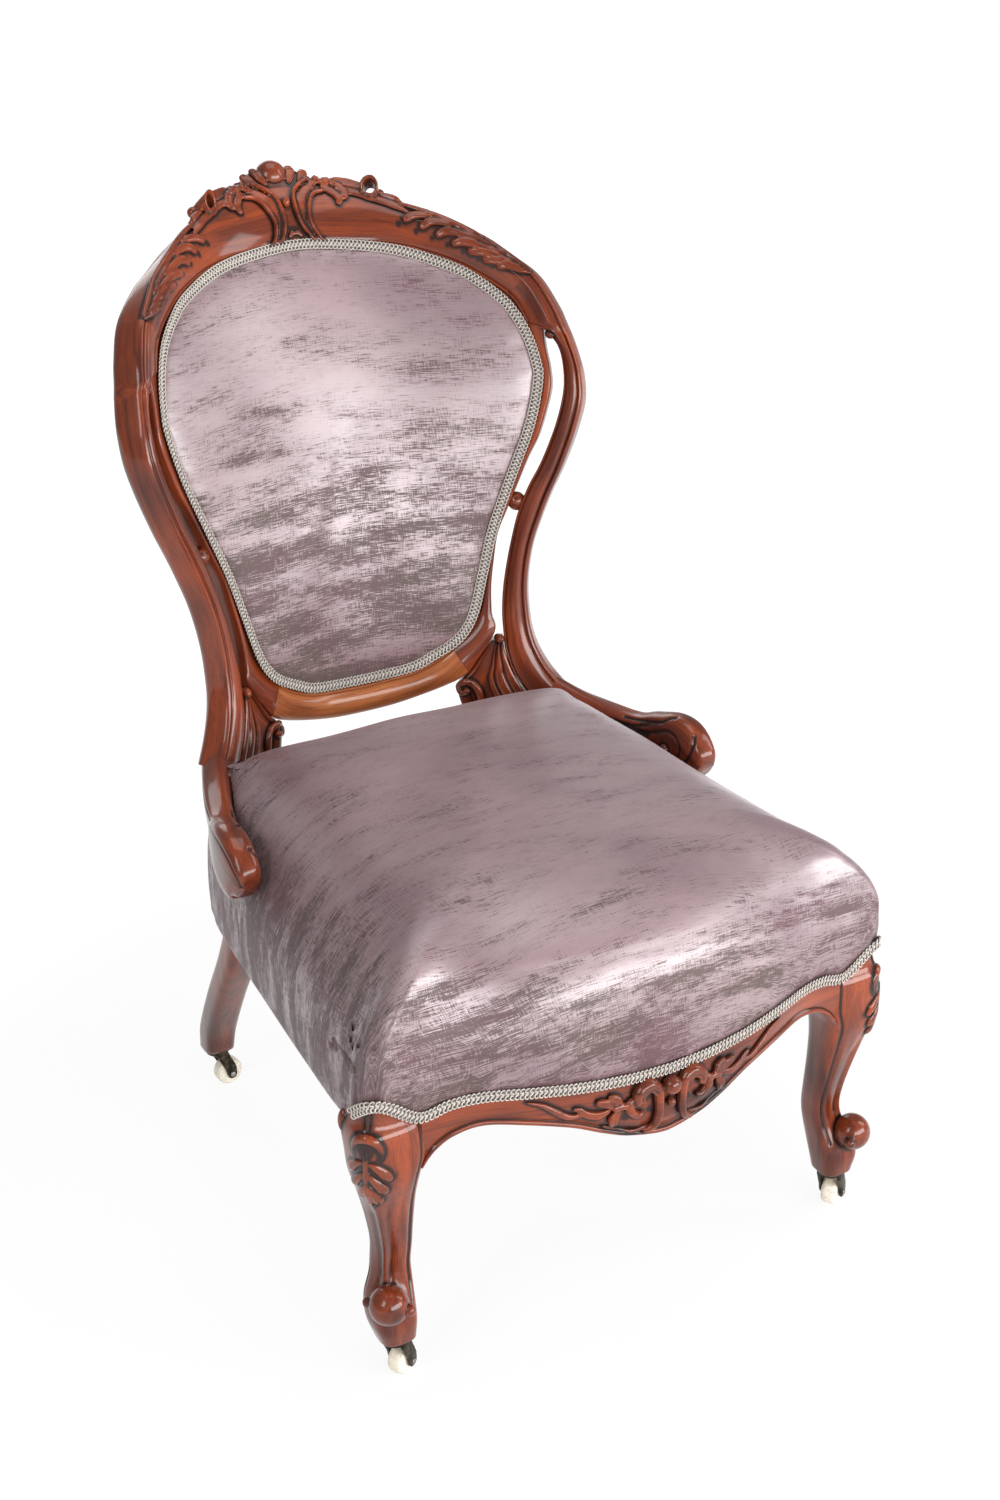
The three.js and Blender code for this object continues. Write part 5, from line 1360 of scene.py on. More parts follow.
# %% Front rail's board
rail_thick, rail_top, rebate, clearance = 0.028, 0.328, 0.006, 0.00035
front_rail_shares = [
    (0, 1, 0.05), (0.13, 0.9, 0.05), (0.22, 0.76, 0.03), (0.33, 0.56, 0), (0.475, 0.4, 0), (0.6, 0.33, 0),
    (0.69, 0.41, 0), (0.742, 0.54, 0), (0.77, 0.66, 0), (0.79, 0.78, 0),
]
rail_bulge = 0.0013
rail_bead = [(-0.2, 7.5), (1.0, 6.8), (0.8, 6.2), (-1.4, 5.4), (-2.2, 3.6), (-1.4, 1.6), (0.4, 0.4), (3, 0)]
rail_rows = np.array(front_rail_shares)
rail_rows = spline(np.vstack([rail_rows[:0:-1] * (-1, 1, 1), rail_rows]), 22)
rail_rings, rail_grain = [], []
for x_share, low, belly in rail_rows:
    x = x_share * seat_half
    y, z = plan_front(x)
    y += clearance
    foot = gimp_level - low * rail_drop
    face = z - foot
    loop = [(rebate, rail_top), (rebate, z), (0.0, z - 0.0006)]
    for share in np.linspace(0.06, 0.72, 14):
        bulge = math.sin(math.pi * share / 0.75) * rail_bulge
        loop.append((-bulge - belly * rail_drop * share, z - face * share))
    loop += [(out * MM, foot + up * MM) for out, up in rail_bead]
    loop += [(rail_thick * 0.5, foot + 0.0008), (rail_thick - 0.002, foot + 0.0016), (rail_thick, foot + 0.004),
             (rail_thick, rail_top)]
    rail_rings.append([(x, y + dy, dz) for dy, dz in loop])
    rail_grain.append([(dy, dz, x) for dy, dz in loop])
rail_body = rings_solid(rail_rings, rail_grain)
rail_tree = bvh_of(rail_body)


print("the front rail's board has", len(rail_body[1]), "faces")


# %% Rail carving
def rail_face(x, z):
    """The rail's face at a place in millimetres, and its normal."""
    depth, _ = plan_front(x * MM)
    return settle(rail_tree, (x * MM, depth - 0.004, z * MM), (0, 1.0, 0))


def on_rail(points, widths, rise, scoop, lift, side):
    """A stroke on the rail's face, with its lengths in millimetres."""
    found = []
    for x, z in spline(points, 3):
        hit, normal = rail_face(side * x, z)
        found.append((hit, normal if normal[1] < -0.4 else np.array([0, -1.0, 0])))
    return stroke_through(found, [w * MM for w in widths], rise, scoop, lift * MM)


# Places, half-widths, height as a share of the width, scoop and lift
rail_marks = [
    ([(33, 254), (33, 266), (23, 272), (14, 266), (12, 254), (12, 240), (16, 229), (26, 223)],
     (3.4, 5.4, 6.0, 5.2, 4.4, 4.0, 3.6, 2.6), 1.2, 0, 3),
    ([(29, 257), (29, 264), (22, 267), (16, 260)], (1.2, 1.7, 1.7, 1.2), 1.4, 0, 6.5),
    ([(40, 263), (41, 252), (33, 244), (27, 246)], (2.8, 4.6, 3.6, 2.4), 1.1, 0, 2),
    ([(20, 228), (34, 225), (50, 231), (66, 240)], (2.2, 2.4, 2.2, 1.6), 0.9, 0, 0),
    ([(34, 254), (46, 257), (58, 256)], (2.4, 3.4, 3.0), 1.0, 0, 2),
    ([(50, 256), (53, 264), (61, 270)], (2.4, 5.0, 3.4), 0.9, 0.5, 2),
    ([(56, 257), (64, 264), (73, 266)], (2.2, 4.4, 3.0), 0.9, 0.5, 2),
    ([(51, 254), (56, 246), (55, 238)], (2.4, 5.2, 3.6), 0.9, 0.5, 2),
    ([(58, 255), (70, 253), (80, 256), (87, 262), (93, 264)], (2, 4.2, 3.8, 2.8, 1.8), 0.9, 0.4, 1),
    ([(82, 256), (96, 257), (108, 265), (120, 274), (134, 279)], (1.4, 3.2, 3.2, 2.2, 0.8), 1.0, 0, 1),
]
rail_beads = [(266, 8.6, 5), (248, 4.4, 3.5)]
# Spots of painted shade in the carving's eyes: x and z in millimetres, and radius.
rail_eyes = [(22, 258, 4.0), (20, 245, 3.2), (44, 244, 4.2), (68, 259, 2.4)]
eye_stand = 0.002
rail_carving = [ball(rail_face(0, z)[0] - (0, out * MM, 0), radius * MM) for z, radius, out in rail_beads]
rail_shaded_pits = []
for side in (1, -1):
    rail_carving += [on_rail(*mark, side) for mark in rail_marks]
    for x, z, radius in rail_eyes:
        place = np.array([side * x * MM, plan_front(x * MM)[0] - eye_stand, z * MM])
        rail_shaded_pits.append((place, radius * MM))
front_rail = carved("carved_front_rail", rail_body, rail_carving, 0.0009, shaded_pits=rail_shaded_pits)
finish_piece(front_rail, walnut, nodes=["front_rail"])
print("front rail", len(front_rail.data.polygons), "faces")

# %% [markdown]
# ## The stuffed seat
# Velvet is pulled over hair and springs and tacked round the rails. The pad starts as the drawn form, a
# little small. It is remeshed and blown up as cloth with its tacked edge held fast, then capped so that
# it stays in its place, and it is pressed clear of the arms. Pleats and tacking puckers are drawn last.

# %% Form of the seat
seat_level_shares = [
    (0, 1, 1, 1, 0), (0.25, 1.002, 1.016, 1.006, 0), (0.55, 0.985, 1.022, 1.01, 0), (0.8, 0.935, 1.01, 1.0, 0),
    (0.96, 0.88, 0.975, 0.985, 0), (1, 0.82, 0.915, 0.95, 0.22), (1, 0.68, 0.73, 0.74, 0.62),
    (1, 0.42, 0.46, 0.46, 0.9), (1, 0.14, 0.16, 0.16, 1),
]
plan_middle_y = seat_back - seat_depth / 2


def seat_ring(rise, side, front, back, crown, inset=0.0):
    depth_share = np.where(plan_loop[:, 1] < plan_middle_y, front, back)
    y = plan_middle_y + (plan_loop[:, 1] - plan_middle_y) * depth_share
    x = plan_loop[:, 0] * side
    edge = seat_top + seat_rise * (y - plan_half[0, 1]) / seat_depth
    z = plan_loop[:, 2] + rise * (edge - plan_loop[:, 2]) + crown * seat_crown
    inward = np.stack([-x / seat_half, (plan_middle_y - y) / (seat_depth / 2)], 1)
    inward /= np.maximum(np.linalg.norm(inward, axis=1, keepdims=True), 1)
    x = x + inward[:, 0] * inset * (1 - crown * 0.9)
    y = y + inward[:, 1] * inset * (1 - crown * 0.9)
    return np.stack([x, y, z - (inset * 0.7 if rise > 0.9 else 0)], 1)


cloth_edge, well_inset, well_top = 0.0018, 0.0045, 0.3315
outside = np.array([seat_ring(*row) for row in spline(seat_level_shares, 8)])
print("the seat is drawn with", len(outside), "rings of", outside.shape[1], "points")

# %% Blowing up a stuffed form
stretch_stiffness, bend_stiffness, cloth_quality = 18, 3, 6


def swelling(name, solid, voxel, held, pressure, frames=20):
    """Blows a stuffed form up as cloth with its tacked edge held, and gives every place and its shift."""
    made = mesh_object(name, solid)
    mesh = remeshed(made, voxel)
    made.modifiers.clear()
    made.data = mesh
    start = corners(mesh)
    group = made.vertex_groups.new(name="tacked")
    for i, weight in enumerate(held(start)):
        if weight > 0.01:
            group.add([i], float(weight), "REPLACE")
    cloth = made.modifiers.new("cloth", "CLOTH")
    settings = cloth.settings
    settings.use_pressure = True
    settings.uniform_pressure_force = pressure
    settings.vertex_group_mass = "tacked"
    settings.effector_weights.gravity = 0
    settings.tension_stiffness = settings.compression_stiffness = stretch_stiffness
    settings.bending_stiffness = bend_stiffness
    settings.quality = cloth_quality
    cloth.point_cache.frame_end = frames
    for step in range(1, frames + 1):
        scene.frame_set(step)
    moved = corners(made.evaluated_get(bpy.context.evaluated_depsgraph_get()).data)
    scene.frame_set(1)
    bpy.data.objects.remove(made)
    return start, moved - start


def swell(rings, found, cap, near=8, rounds=30):
    """Moves rings as the swollen form moved beside them: evened out, and no further than the cap."""
    start, shift = found
    length = np.linalg.norm(shift, axis=1, keepdims=True)
    shift = shift * np.minimum(1, cap / np.maximum(length, 1e-9))
    tree = near_points(start)
    moves = []
    for place in rings.reshape(-1, 3):
        beside = tree.find_n(place, near)
        weights = np.array([1 / (gap + MM) for _, _, gap in beside])
        moves.append(weights @ shift[[i for _, i, _ in beside]] / weights.sum())
    moves = np.array(moves).reshape(rings.shape)
    for _ in range(rounds):
        moves = (moves + np.roll(moves, 1, 1) + np.roll(moves, -1, 1)) / 3
        moves[1:-1] = (moves[1:-1] + moves[:-2] + moves[2:]) / 3
    return rings + moves


def most_moved(found):
    return round(float(np.linalg.norm(found[1], axis=1).max()) / MM, 1)


print("stuffed forms are blown up here")

# %% Swell the seat
tack_level, tack_fade, arm_zone, arm_zone_share, arm_zone_top = 0.315, 0.03, 0.09, 0.6, 0.39
floor_share, seat_voxel, seat_pressure, seat_cap = 0.4, 0.0055, 3.0, 0.009


def tacked_seat(places):
    """1 on the underside and the tacked edge, 0 on what can swell."""
    side = np.clip((tack_level - places[:, 2]) / tack_fade, 0, 1)
    near_arm = np.clip((places[:, 1] - (seat_back - arm_zone)) / tack_fade, 0, 1) * arm_zone_share
    return np.maximum(side, near_arm * (places[:, 2] < arm_zone_top))


def drawn_together(ring):
    """A ring made smaller about the middle of the plan."""
    out = ring * (floor_share, 1, 1)
    out[:, 1] = plan_middle_y + (ring[:, 1] - plan_middle_y) * floor_share
    return out


seat_floor = drawn_together(outside[0]) * (1, 1, 0) + (0, 0, skirt_level)
seat_form = rings_solid([seat_floor, *outside[::2]])
seat_swelling = swelling("seat_form", seat_form, seat_voxel, tacked_seat, seat_pressure)
outside = swell(outside, seat_swelling, seat_cap)
print("the seat swelled by up to", most_moved(seat_swelling), "mm")


# %% Pleats, puckers and drag lines
def pressed_clear(places, tree, gap, depth=0.03):
    """Moves the places that lie in the wood out to its surface, with a gap."""
    out = places.copy()
    for i, place in enumerate(places):
        hit, normal, _, away = tree.find_nearest(place, depth)
        if hit is not None:
            inside = (Vector(place) - hit).dot(normal)
            if -depth < inside < gap:
                out[i] = np.array(hit) + np.array(normal) * gap
    return out


def ring_normals(rings):
    """Outward normals of a skin given as rings."""
    across = np.roll(rings, -1, 1) - np.roll(rings, 1, 1)
    along = np.gradient(rings, axis=0)
    turned = unit(np.cross(across, along))
    middle = rings.mean((0, 1))
    return turned if ((rings - middle) * turned).sum() > 0 else -turned


corner_place = np.array([0.955 * seat_half, plan_half[8, 1]])
pleat_hub, pleat_reach, pleat_top, pleat_fade, pleat_depth = 0.045, 0.055, 0.375, 0.06, 0.0026
# Each fold of a pleat is its turn about the hub, its width there and its depth as a share
pleat_folds = [(0.85, 0.08, 1), (1.05, 0.11, -0.5), (0.55, 0.08, 0.6)]
tack_band, tack_pitches, tack_pull, tack_swing = 0.022, (0.031, 0.047), 0.0006, 0.0005
drag_level, drag_band, drag_depth, front_fade = 0.05, 0.035, 0.0009, 0.2
dent_depth, dent_level, dent_fade = 0.0007, 0.40, 0.02


def drawn_in(rings):
    """Corner pleats, tacking puckers and drag lines, drawn into the skin."""
    x, y, z = np.moveaxis(rings, -1, 0)
    front = np.clip((plan_middle_y - y) / front_fade, 0, 1)
    move = np.zeros_like(x)
    for side in (1, -1):
        dx, dy = x - side * corner_place[0], y - corner_place[1]
        turn = np.arctan2(pleat_hub - dy, side * dx + pleat_hub)
        near = np.exp(-(dx ** 2 + dy ** 2) / pleat_reach ** 2) * np.clip((pleat_top - z) / pleat_fade, 0, 1)
        fold = sum(share * np.exp(-((turn - middle) / width) ** 2) for middle, width, share in pleat_folds)
        move -= fold * near * pleat_depth
    above = z - np.interp(np.abs(x), front_line[:, 0], front_line[:, 2])
    tug = np.exp(-(above / tack_band) ** 2) * front
    pucker = np.sin(x * 2 * math.pi / tack_pitches[0]) + 0.6 * np.sin(x * 2 * math.pi / tack_pitches[1] + 1.3)
    move -= tug * (tack_pull + tack_swing * pucker)
    drag = np.exp(-((above - drag_level) / drag_band) ** 2) * front
    move += drag * np.sin(x * 70 + above * 60) * np.sin(x * 23 - above * 90 + 0.7) * drag_depth
    dents = np.sin(x * 31 + 1.1) * np.sin(y * 27 + x * 13) + 0.6 * np.sin(x * 57 - y * 43)
    move += dents * dent_depth * np.clip((z - dent_level) / dent_fade, 0, 1)
    return rings + ring_normals(rings) * move[..., None]


flat_outside = outside
outside = drawn_in(outside)
drawn_most = np.linalg.norm(outside - flat_outside, axis=2).max()
print("pleats and puckers move the cloth by up to", round(float(drawn_most) / MM, 1), "mm")

# %% Fit the seat to its frame
wood_gap, lining_inset = 0.0008, 0.0035
skin = outside.reshape(-1, 3)
for solid in (arm_body, leg_body, back_leg, stile):
    for _, turn, _ in both_sides:
        skin = pressed_clear(skin, bvh_of(outward(turn(outward(solid)))), wood_gap)
outside = skin.reshape(outside.shape)
lining = [seat_ring(0, 1, 1, 1, 0, inset) for inset in (cloth_edge, lining_inset, well_inset)]
lining[-1][:, 2] = well_top
seat_rings = np.array([drawn_together(lining[-1]), *lining[::-1], *outside])
drop = np.clip(seat_top - seat_rings[..., 2], 0, None)[..., None]
facing = ring_normals(seat_rings)[..., :2]
facing = facing / np.maximum(np.linalg.norm(facing, axis=-1, keepdims=True), 0.3)
seat_cloth = np.concatenate([seat_rings[..., :2] + facing * drop, np.zeros((*seat_rings.shape[:2], 1))], -1)
print("the seat's cloth has", len(seat_rings), "rings")

# %% The seat pad
seat_crush, side_crush, side_level, side_fade = 0.04, 0.76, 0.413, 0.045
left_crush, left_from, left_fade = 0.25, 0.1, 0.12


def note_crush(made, values):
    """How broken the pile is at each point, from 0, smooth, to 1."""
    note_points(made.data, "crush", np.clip(values, 0, 1))


seat_pad = mesh_object("velvet_seat_pad", rings_solid(seat_rings, seat_cloth))
x, _, z = corners(seat_pad.data).T
on_side = np.clip((side_level - z) / side_fade, 0, 1)
on_left = np.clip((-x - left_from) / left_fade, 0, 1)
note_crush(seat_pad, seat_crush + side_crush * on_side + left_crush * on_left)
finish_piece(seat_pad, velvet, nodes=["seat_cover", "seat_stuffing"])
print("seat pad", len(seat_pad.data.polygons), "faces")

# %% [markdown]
# ## The back pad
# The inside back is a crowned pad, deepest in the middle and pulled flat under the braid. Its edge lies
# on the wood and is held there while the middle swells.

# %% Outline of the back pad
gimp_shares = [
    (0, 0.062), (0.22, 0.07), (0.328, 0.092), (0.432, 0.124), (0.5, 0.174), (0.556, 0.266), (0.612, 0.36),
    (0.696, 0.466), (0.78, 0.57), (0.828, 0.66), (0.832, 0.696), (0.812, 0.756), (0.76, 0.814), (0.66, 0.862),
    (0.58, 0.884), (0.416, 0.912), (0.232, 0.926), (0, 0.934),
]
gimp_loop = from_shares(gimp_shares + [(-x, z) for x, z in gimp_shares[-2:0:-1]])
gimp_line = spaced(spline(gimp_loop, 12, closed=True), 180, closed=True)
pad_line = spaced(spline(gimp_loop, 24, closed=True), 400, closed=True)
pad_middle = np.array([0.0, arm_level + 0.56 * back_rise])
pad_crown, lay_gap = 0.024, 0.0012


def inward_of(line):
    steps = unit(np.roll(line, -1, 0) - np.roll(line, 1, 0))
    inward = np.stack([-steps[:, 1], steps[:, 0]], 1)
    return inward if ((pad_middle - line) * inward).sum() > 0 else -inward


def pad_ring(share, inset, lift, line=None):
    line = gimp_line if line is None else line
    edge = line + inward_of(line) * inset
    at = pad_middle + (edge - pad_middle) * share
    return on_back(at[:, 0], at[:, 1], lift)


def crown_at(share):
    return pad_crown * max(1 - share ** 2.4, 0) ** 0.55


print("the back pad's outline has", len(pad_line), "points")

# %% Swell the back pad
under_shares, under_inset, over_inset, edge_lift = (0.05, 0.3, 0.6, 0.85, 1.0), 0.004, 0.0046, 0.0016
# Inset and lift of the pad's rounded edge
edge_steps = [(-0.0012, 0), (-0.0012, 0.0014), (0.0045, edge_lift)]
held_lift, held_fade, floor_depth, back_voxel, back_pressure, back_cap = 0.010, 0.006, -0.012, 0.0050, 2.0, 0.005
top_shares = 1 - np.linspace(0, 1, 46)[1:-1] ** 1.6
back_under = [pad_ring(share, under_inset, lay_gap, pad_line) for share in under_shares]
back_under += [pad_ring(1.0, inset, lay_gap + lift, pad_line) for inset, lift in edge_steps]
back_over = [pad_ring(share, over_inset, lay_gap + edge_lift + crown_at(share), pad_line) for share in top_shares]
back_over = np.array(back_over)


def tacked_back(places):
    """1 near the wood, 0 where the pad stands clear of it."""
    lift = back_y(places[:, 0], places[:, 2]) - places[:, 1]
    return np.clip((held_lift - lift) / held_fade, 0, 1)


deep_floor = [pad_ring(share, over_inset, floor_depth, pad_line) for share in (0.05, 0.5, 1.0)]
back_form = rings_solid([*deep_floor, *back_over[::3]])
back_swelling = swelling("back_form", back_form, back_voxel, tacked_back, back_pressure)
back_over = swell(back_over, back_swelling, back_cap)
print("the back swelled by up to", most_moved(back_swelling), "mm")
print("the back pad's crown is", round(crown_at(0) / MM, 1), "mm")

# %% The back pad
tug_share, tug_depth, wave_depth = 0.05, 0.0003, 0.0005
back_crush, low_crush, low_level, low_fade = 0.16, 0.75, 0.74, 0.16
x, _, z = np.moveaxis(back_over, -1, 0)
edge_share = top_shares[:, None]
around = np.linspace(0, 2 * math.pi, back_over.shape[1], endpoint=False)[None]
tacks = np.sin(around * 37) + 0.6 * np.sin(around * 61 + 1)
tug = np.exp(-((1 - edge_share) / tug_share) ** 2) * tacks * tug_depth
waves = np.sin(z * 43 + x * 9) * np.sin(x * 21 + 0.6) * wave_depth * (1 - edge_share ** 4)
back_over = back_over + ring_normals(back_over) * (tug + waves)[..., None]
back_rings = np.array([*back_under, *back_over])
back_cloth = np.stack([back_rings[..., 0], back_rings[..., 2], np.zeros(back_rings.shape[:2])], -1)
back_pad = mesh_object("velvet_back_pad", rings_solid(back_rings, back_cloth))
_, _, z = corners(back_pad.data).T
note_crush(back_pad, back_crush + low_crush * np.clip((low_level - z) / low_fade, 0, 1))
finish_piece(back_pad, velvet, nodes=["back_cover", "back_stuffing"])
print("back pad", len(back_pad.data.polygons), "faces")

# %% Outside back
panel_inset, panel_depth, panel_thick = 0.011, -0.0198, 0.0014
panel_shares = (0.04, 0.2, 0.4, 0.6, 0.8, 0.93, 1.0)
panel_rings = [pad_ring(share, panel_inset, panel_depth) for share in panel_shares]
panel_rings += [pad_ring(share, panel_inset, panel_depth + panel_thick) for share in panel_shares[::-1]]
panel = mesh_object("velvet_outside_back", rings_solid(panel_rings))
panel_places = corners(panel.data)
note_points(panel.data, "grain", panel_places[:, [0, 2, 1]] * (1, 1, 0))
note_crush(panel, np.full(len(panel_places), 0.3))
finish_piece(panel, velvet, nodes=["back_outside_cover"])


def stretched_cloth(made):
    """Reads where the points of a cloth lie, and does nothing more."""
    places = corners(made.data)


stretched_cloth(panel)

# %% [markdown]
# ## Gimp braid
# Gimp is a flat braid of looped cord that hides the tacks. A Geometry Nodes tree lays it: the path is
# walked in equal steps, a small open loop of cord is set on each side of the middle at every step, and a
# twisted rib runs between them.


# %% Geometry Nodes tree for the braid
gimp_sizes = {"Step": 0.0042, "Half width": 0.0052, "Cord": 0.00062}
loop_share, loop_shift_share, knot_radius = 0.37, 0.60, 0.00125


def braid_tree(material):
    """Two slanted loops of cord and a knot at every step of a path."""
    graph, entry, leave = group_tree(
        "Looped gimp",
        [("Geometry", GEOMETRY, None), *[(label, FLOAT, size) for label, size in gimp_sizes.items()]],
        [("Geometry", GEOMETRY)], "GeometryNodeTree")
    half_width = entry.outputs["Half width"]
    path = graph.add("GeometryNodeMeshToCurve", Mesh=entry.outputs["Geometry"])
    walk = graph.add("GeometryNodeResampleCurve", mode="LENGTH", Curve=path.outputs[0],
                     Length=entry.outputs["Step"])
    out = graph.add("GeometryNodeInputNamedAttribute", data_type="FLOAT_VECTOR", Name="out")
    tangent = graph.add("GeometryNodeInputTangent")
    turn = graph.add("FunctionNodeAxesToRotation", primary_axis="X", secondary_axis="Z")
    graph.link(tangent.outputs[0], turn.inputs[0])
    graph.link(out.outputs[0], turn.inputs[1])
    keep = graph.add("GeometryNodeStoreNamedAttribute", data_type="QUATERNION", Name="turn",
                     Geometry=walk.outputs[0], Value=turn.outputs[0])
    spots = graph.add("GeometryNodeCurveToPoints", mode="EVALUATED", Curve=keep.outputs[0])
    saved = graph.add("GeometryNodeInputNamedAttribute", data_type="QUATERNION", Name="turn")
    cord = graph.add("GeometryNodeCurvePrimitiveCircle", Resolution=5, Radius=entry.outputs["Cord"])
    joined = graph.add("GeometryNodeJoinGeometry")
    for side in (1, -1):
        loop = graph.add("GeometryNodeCurvePrimitiveCircle", Resolution=11,
                         Radius=graph.math("MULTIPLY", half_width, loop_share))
        body = graph.add("GeometryNodeCurveToMesh", Curve=loop.outputs[0], Profile_Curve=cord.outputs[0])
        shift = graph.add("ShaderNodeCombineXYZ", Y=graph.math("MULTIPLY", half_width, loop_shift_share * side))
        shape = graph.add("GeometryNodeTransform", Geometry=body.outputs[0], Translation=shift.outputs[0],
                          Rotation=(0.32 * side, 0.3, 0.5 * side), Scale=(1.18, 1.0, 1.0))
        graph.link(shape.outputs[0], joined.inputs[0])
    knot = graph.add("GeometryNodeMeshUVSphere", Segments=8, Rings=5, Radius=knot_radius)
    slant = graph.add("GeometryNodeTransform", Geometry=knot.outputs[0], Rotation=(0, 0, 0.7),
                      Scale=(1.7, 0.8, 0.7))
    graph.link(slant.outputs[0], joined.inputs[0])
    copies = graph.add("GeometryNodeInstanceOnPoints", Points=spots.outputs[0], Instance=joined.outputs[0],
                       Rotation=saved.outputs[0])
    real = graph.add("GeometryNodeRealizeInstances", Geometry=copies.outputs[0])
    shade = graph.add("GeometryNodeSetMaterial", Geometry=real.outputs[0], Material=material)
    graph.link(shade.outputs[0], leave.inputs[0])
    return graph.tree


gimp_tree = braid_tree(braid)
print("the braid's tree has", len(gimp_tree.nodes), "nodes")

# %% Laying a braid
loop_lift = 0.0012
tape_half, tape_edge, tape_flank = 0.0042, 0.0043, 0.0022
tape_section = [
    (-tape_half, 0), (tape_half, 0), (tape_edge, 0.0006), (tape_flank, 0.0010), (0, loop_lift),
    (-tape_flank, 0.0010), (-tape_edge, 0.0006),
]


def lay_braid(name, line, outs, closed, node):
    """Runs the tree on a line of points, and adds the flat tape that the loops are sewn to, dark with painted shade
    between the loops.
    """
    line, outs = np.asarray(line, float), unit(outs)
    count = len(line)
    path = bpy.data.meshes.new(name + "_path")
    edges = [(i, (i + 1) % count) for i in range(count if closed else count - 1)]
    path.from_pydata((line + outs * loop_lift).tolist(), edges, [])
    note_points(path, "out", outs)
    guide = bpy.data.objects.new(name + "_path", path)
    scene.collection.objects.link(guide)
    modifier = guide.modifiers.new("gimp", "NODES")
    modifier.node_group = gimp_tree
    for item in gimp_tree.interface.items_tree:
        if item.in_out == "INPUT" and item.name in gimp_sizes:
            modifier[item.identifier] = gimp_sizes[item.name]
    loops = evaluated_mesh(guide)
    bpy.data.objects.remove(guide)
    verts = corners(loops)
    faces = [tuple(face.vertices) for face in loops.polygons]
    step = np.roll(line, -1, 0) - np.roll(line, 1, 0) if closed else np.gradient(line, axis=0)
    across = unit(np.cross(step, outs))
    rings = [[p + a * s + o * h for s, h in tape_section] for p, a, o in zip(line, across, outs)]
    tape_verts, tape_faces, _ = outward(rings_solid(rings, joined=closed))
    tape_faces = [tuple(i + len(verts) for i in face) for face in tape_faces]
    made = link_mesh(name, np.vstack([verts, tape_verts]), faces + tape_faces)
    finish_piece(made, braid, nodes=[node])
    # The tape's dark finish is the painted shade between the loops.
    made.data.materials.append(shaded_braid_tape)
    on_tape = np.arange(len(made.data.polygons)) >= len(faces)
    made.data.polygons.foreach_set("material_index", on_tape.astype(np.int32))
    print(name, len(made.data.polygons), "faces")


print("the tape under the loops is", round(2 * tape_edge / MM, 1), "mm wide")

# %% Lay the braid round the back and along the seat
gimp_lift = 0.0019
back_line = spaced(gimp_line, 260, closed=True)
back_points = on_back(back_line[:, 0], back_line[:, 1], lay_gap + gimp_lift)
back_outs = on_back(back_line[:, 0], back_line[:, 1], 0.01) - on_back(back_line[:, 0], back_line[:, 1])
lay_braid("looped_back_gimp", back_points, back_outs, True, "back_gimp")
seat_line = spline(plan_half[:10], 10)
seat_line = np.vstack([seat_line[:0:-1] * (-1, 1, 1), seat_line])
seat_steps = np.gradient(seat_line, axis=0)
seat_outs = unit(np.column_stack([seat_steps[:, 1], -seat_steps[:, 0], np.zeros(len(seat_line))]))
lay_braid("looped_seat_gimp", seat_line + seat_outs * gimp_lift, seat_outs, False, "seat_gimp")

# %% [markdown]
# ## Under the seat
# Black cambric is tacked under the rails to catch dust. The rails, blocks, webbing and springs above it
# keep their CAD solids, which have the right shape, and take their own finishes.

# %% Dust cover
dust_back_half, dust_sag, dust_thick = 0.205, 0.0018, 0.0009
low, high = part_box("dust_cover")
dust_half = (high.x - low.x) / 2
dust_rings = []
for t in np.linspace(0, 1, 15):
    half = dust_half + (dust_back_half - dust_half) * t
    y = low.y + (high.y - low.y) * t
    xs = np.linspace(-half, half, 21)
    sag = dust_sag * math.sin(math.pi * t) * np.cos(xs / half * math.pi / 2)
    top = [(x, y, high.z - s) for x, s in zip(xs, sag)]
    dust_rings.append(top + [(x, yy, z - dust_thick) for x, yy, z in top[::-1]])
dust = mesh_object("cambric_dust_cover", rings_solid(dust_rings))
finish_piece(dust, cambric, nodes=["dust_cover"])
stretched_cloth(dust)

# %% Finishes of the hidden structure
hidden_finishes = {
    ("side_rail", "back_rail", "front_corner", "back_corner"): beech,
    ("seat_webbing", "spring_hessian", "back_hessian"): jute,
    ("seat_spring",): wire,
}
for starts, material in hidden_finishes.items():
    hidden = [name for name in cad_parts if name.startswith(starts)]
    for name in hidden:
        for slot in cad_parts[name].material_slots:
            slot.material = material
    print(len(hidden), "hidden solids are finished in", material.name)

# %% [markdown]
# ## Castors
# Each castor has a round plate screwed under the leg, a horn that swivels on its pin, and a ceramic wheel
# on a riveted axle. One set is made about its own pivot and turned to each leg's angle.

# %% Turned parts of a castor
wheel_radius, wheel_width, trail = 0.015, 0.016, 0.011
wheel_half, wheel_round, hub_radius, bore_radius, hub_dish = wheel_width / 2, 0.0045, 0.0045, 0.00255, 0.0006
axle_place = (trail, 0, wheel_radius * math.cos(math.pi / 20))
# Profiles are (radius, along) in millimetres
plate_profile = [
    (0, 37.6), (3.4, 37.6), (3.4, 46.65), (14.2, 46.65), (15, 47.45), (15, 49.05), (14.4, 49.65), (0, 49.65),
]
crown_profile = [(3.85, 42.4), (10.2, 41.4), (12.2, 43.0), (12.2, 45.2), (11.2, 46.3), (3.85, 46.3)]
half_axle = [(2.1, 12.1), (3.1, 12.2), (3.0, 12.6), (1.6, 13.5), (0, 13.6)]
axle_profile = [(radius, -along) for radius, along in half_axle[::-1]] + half_axle
screw_turns, screw_circle, screw_radius, plate_low = (0.8, 2.9, 5.0), 0.0105, 0.0021, 0.04665


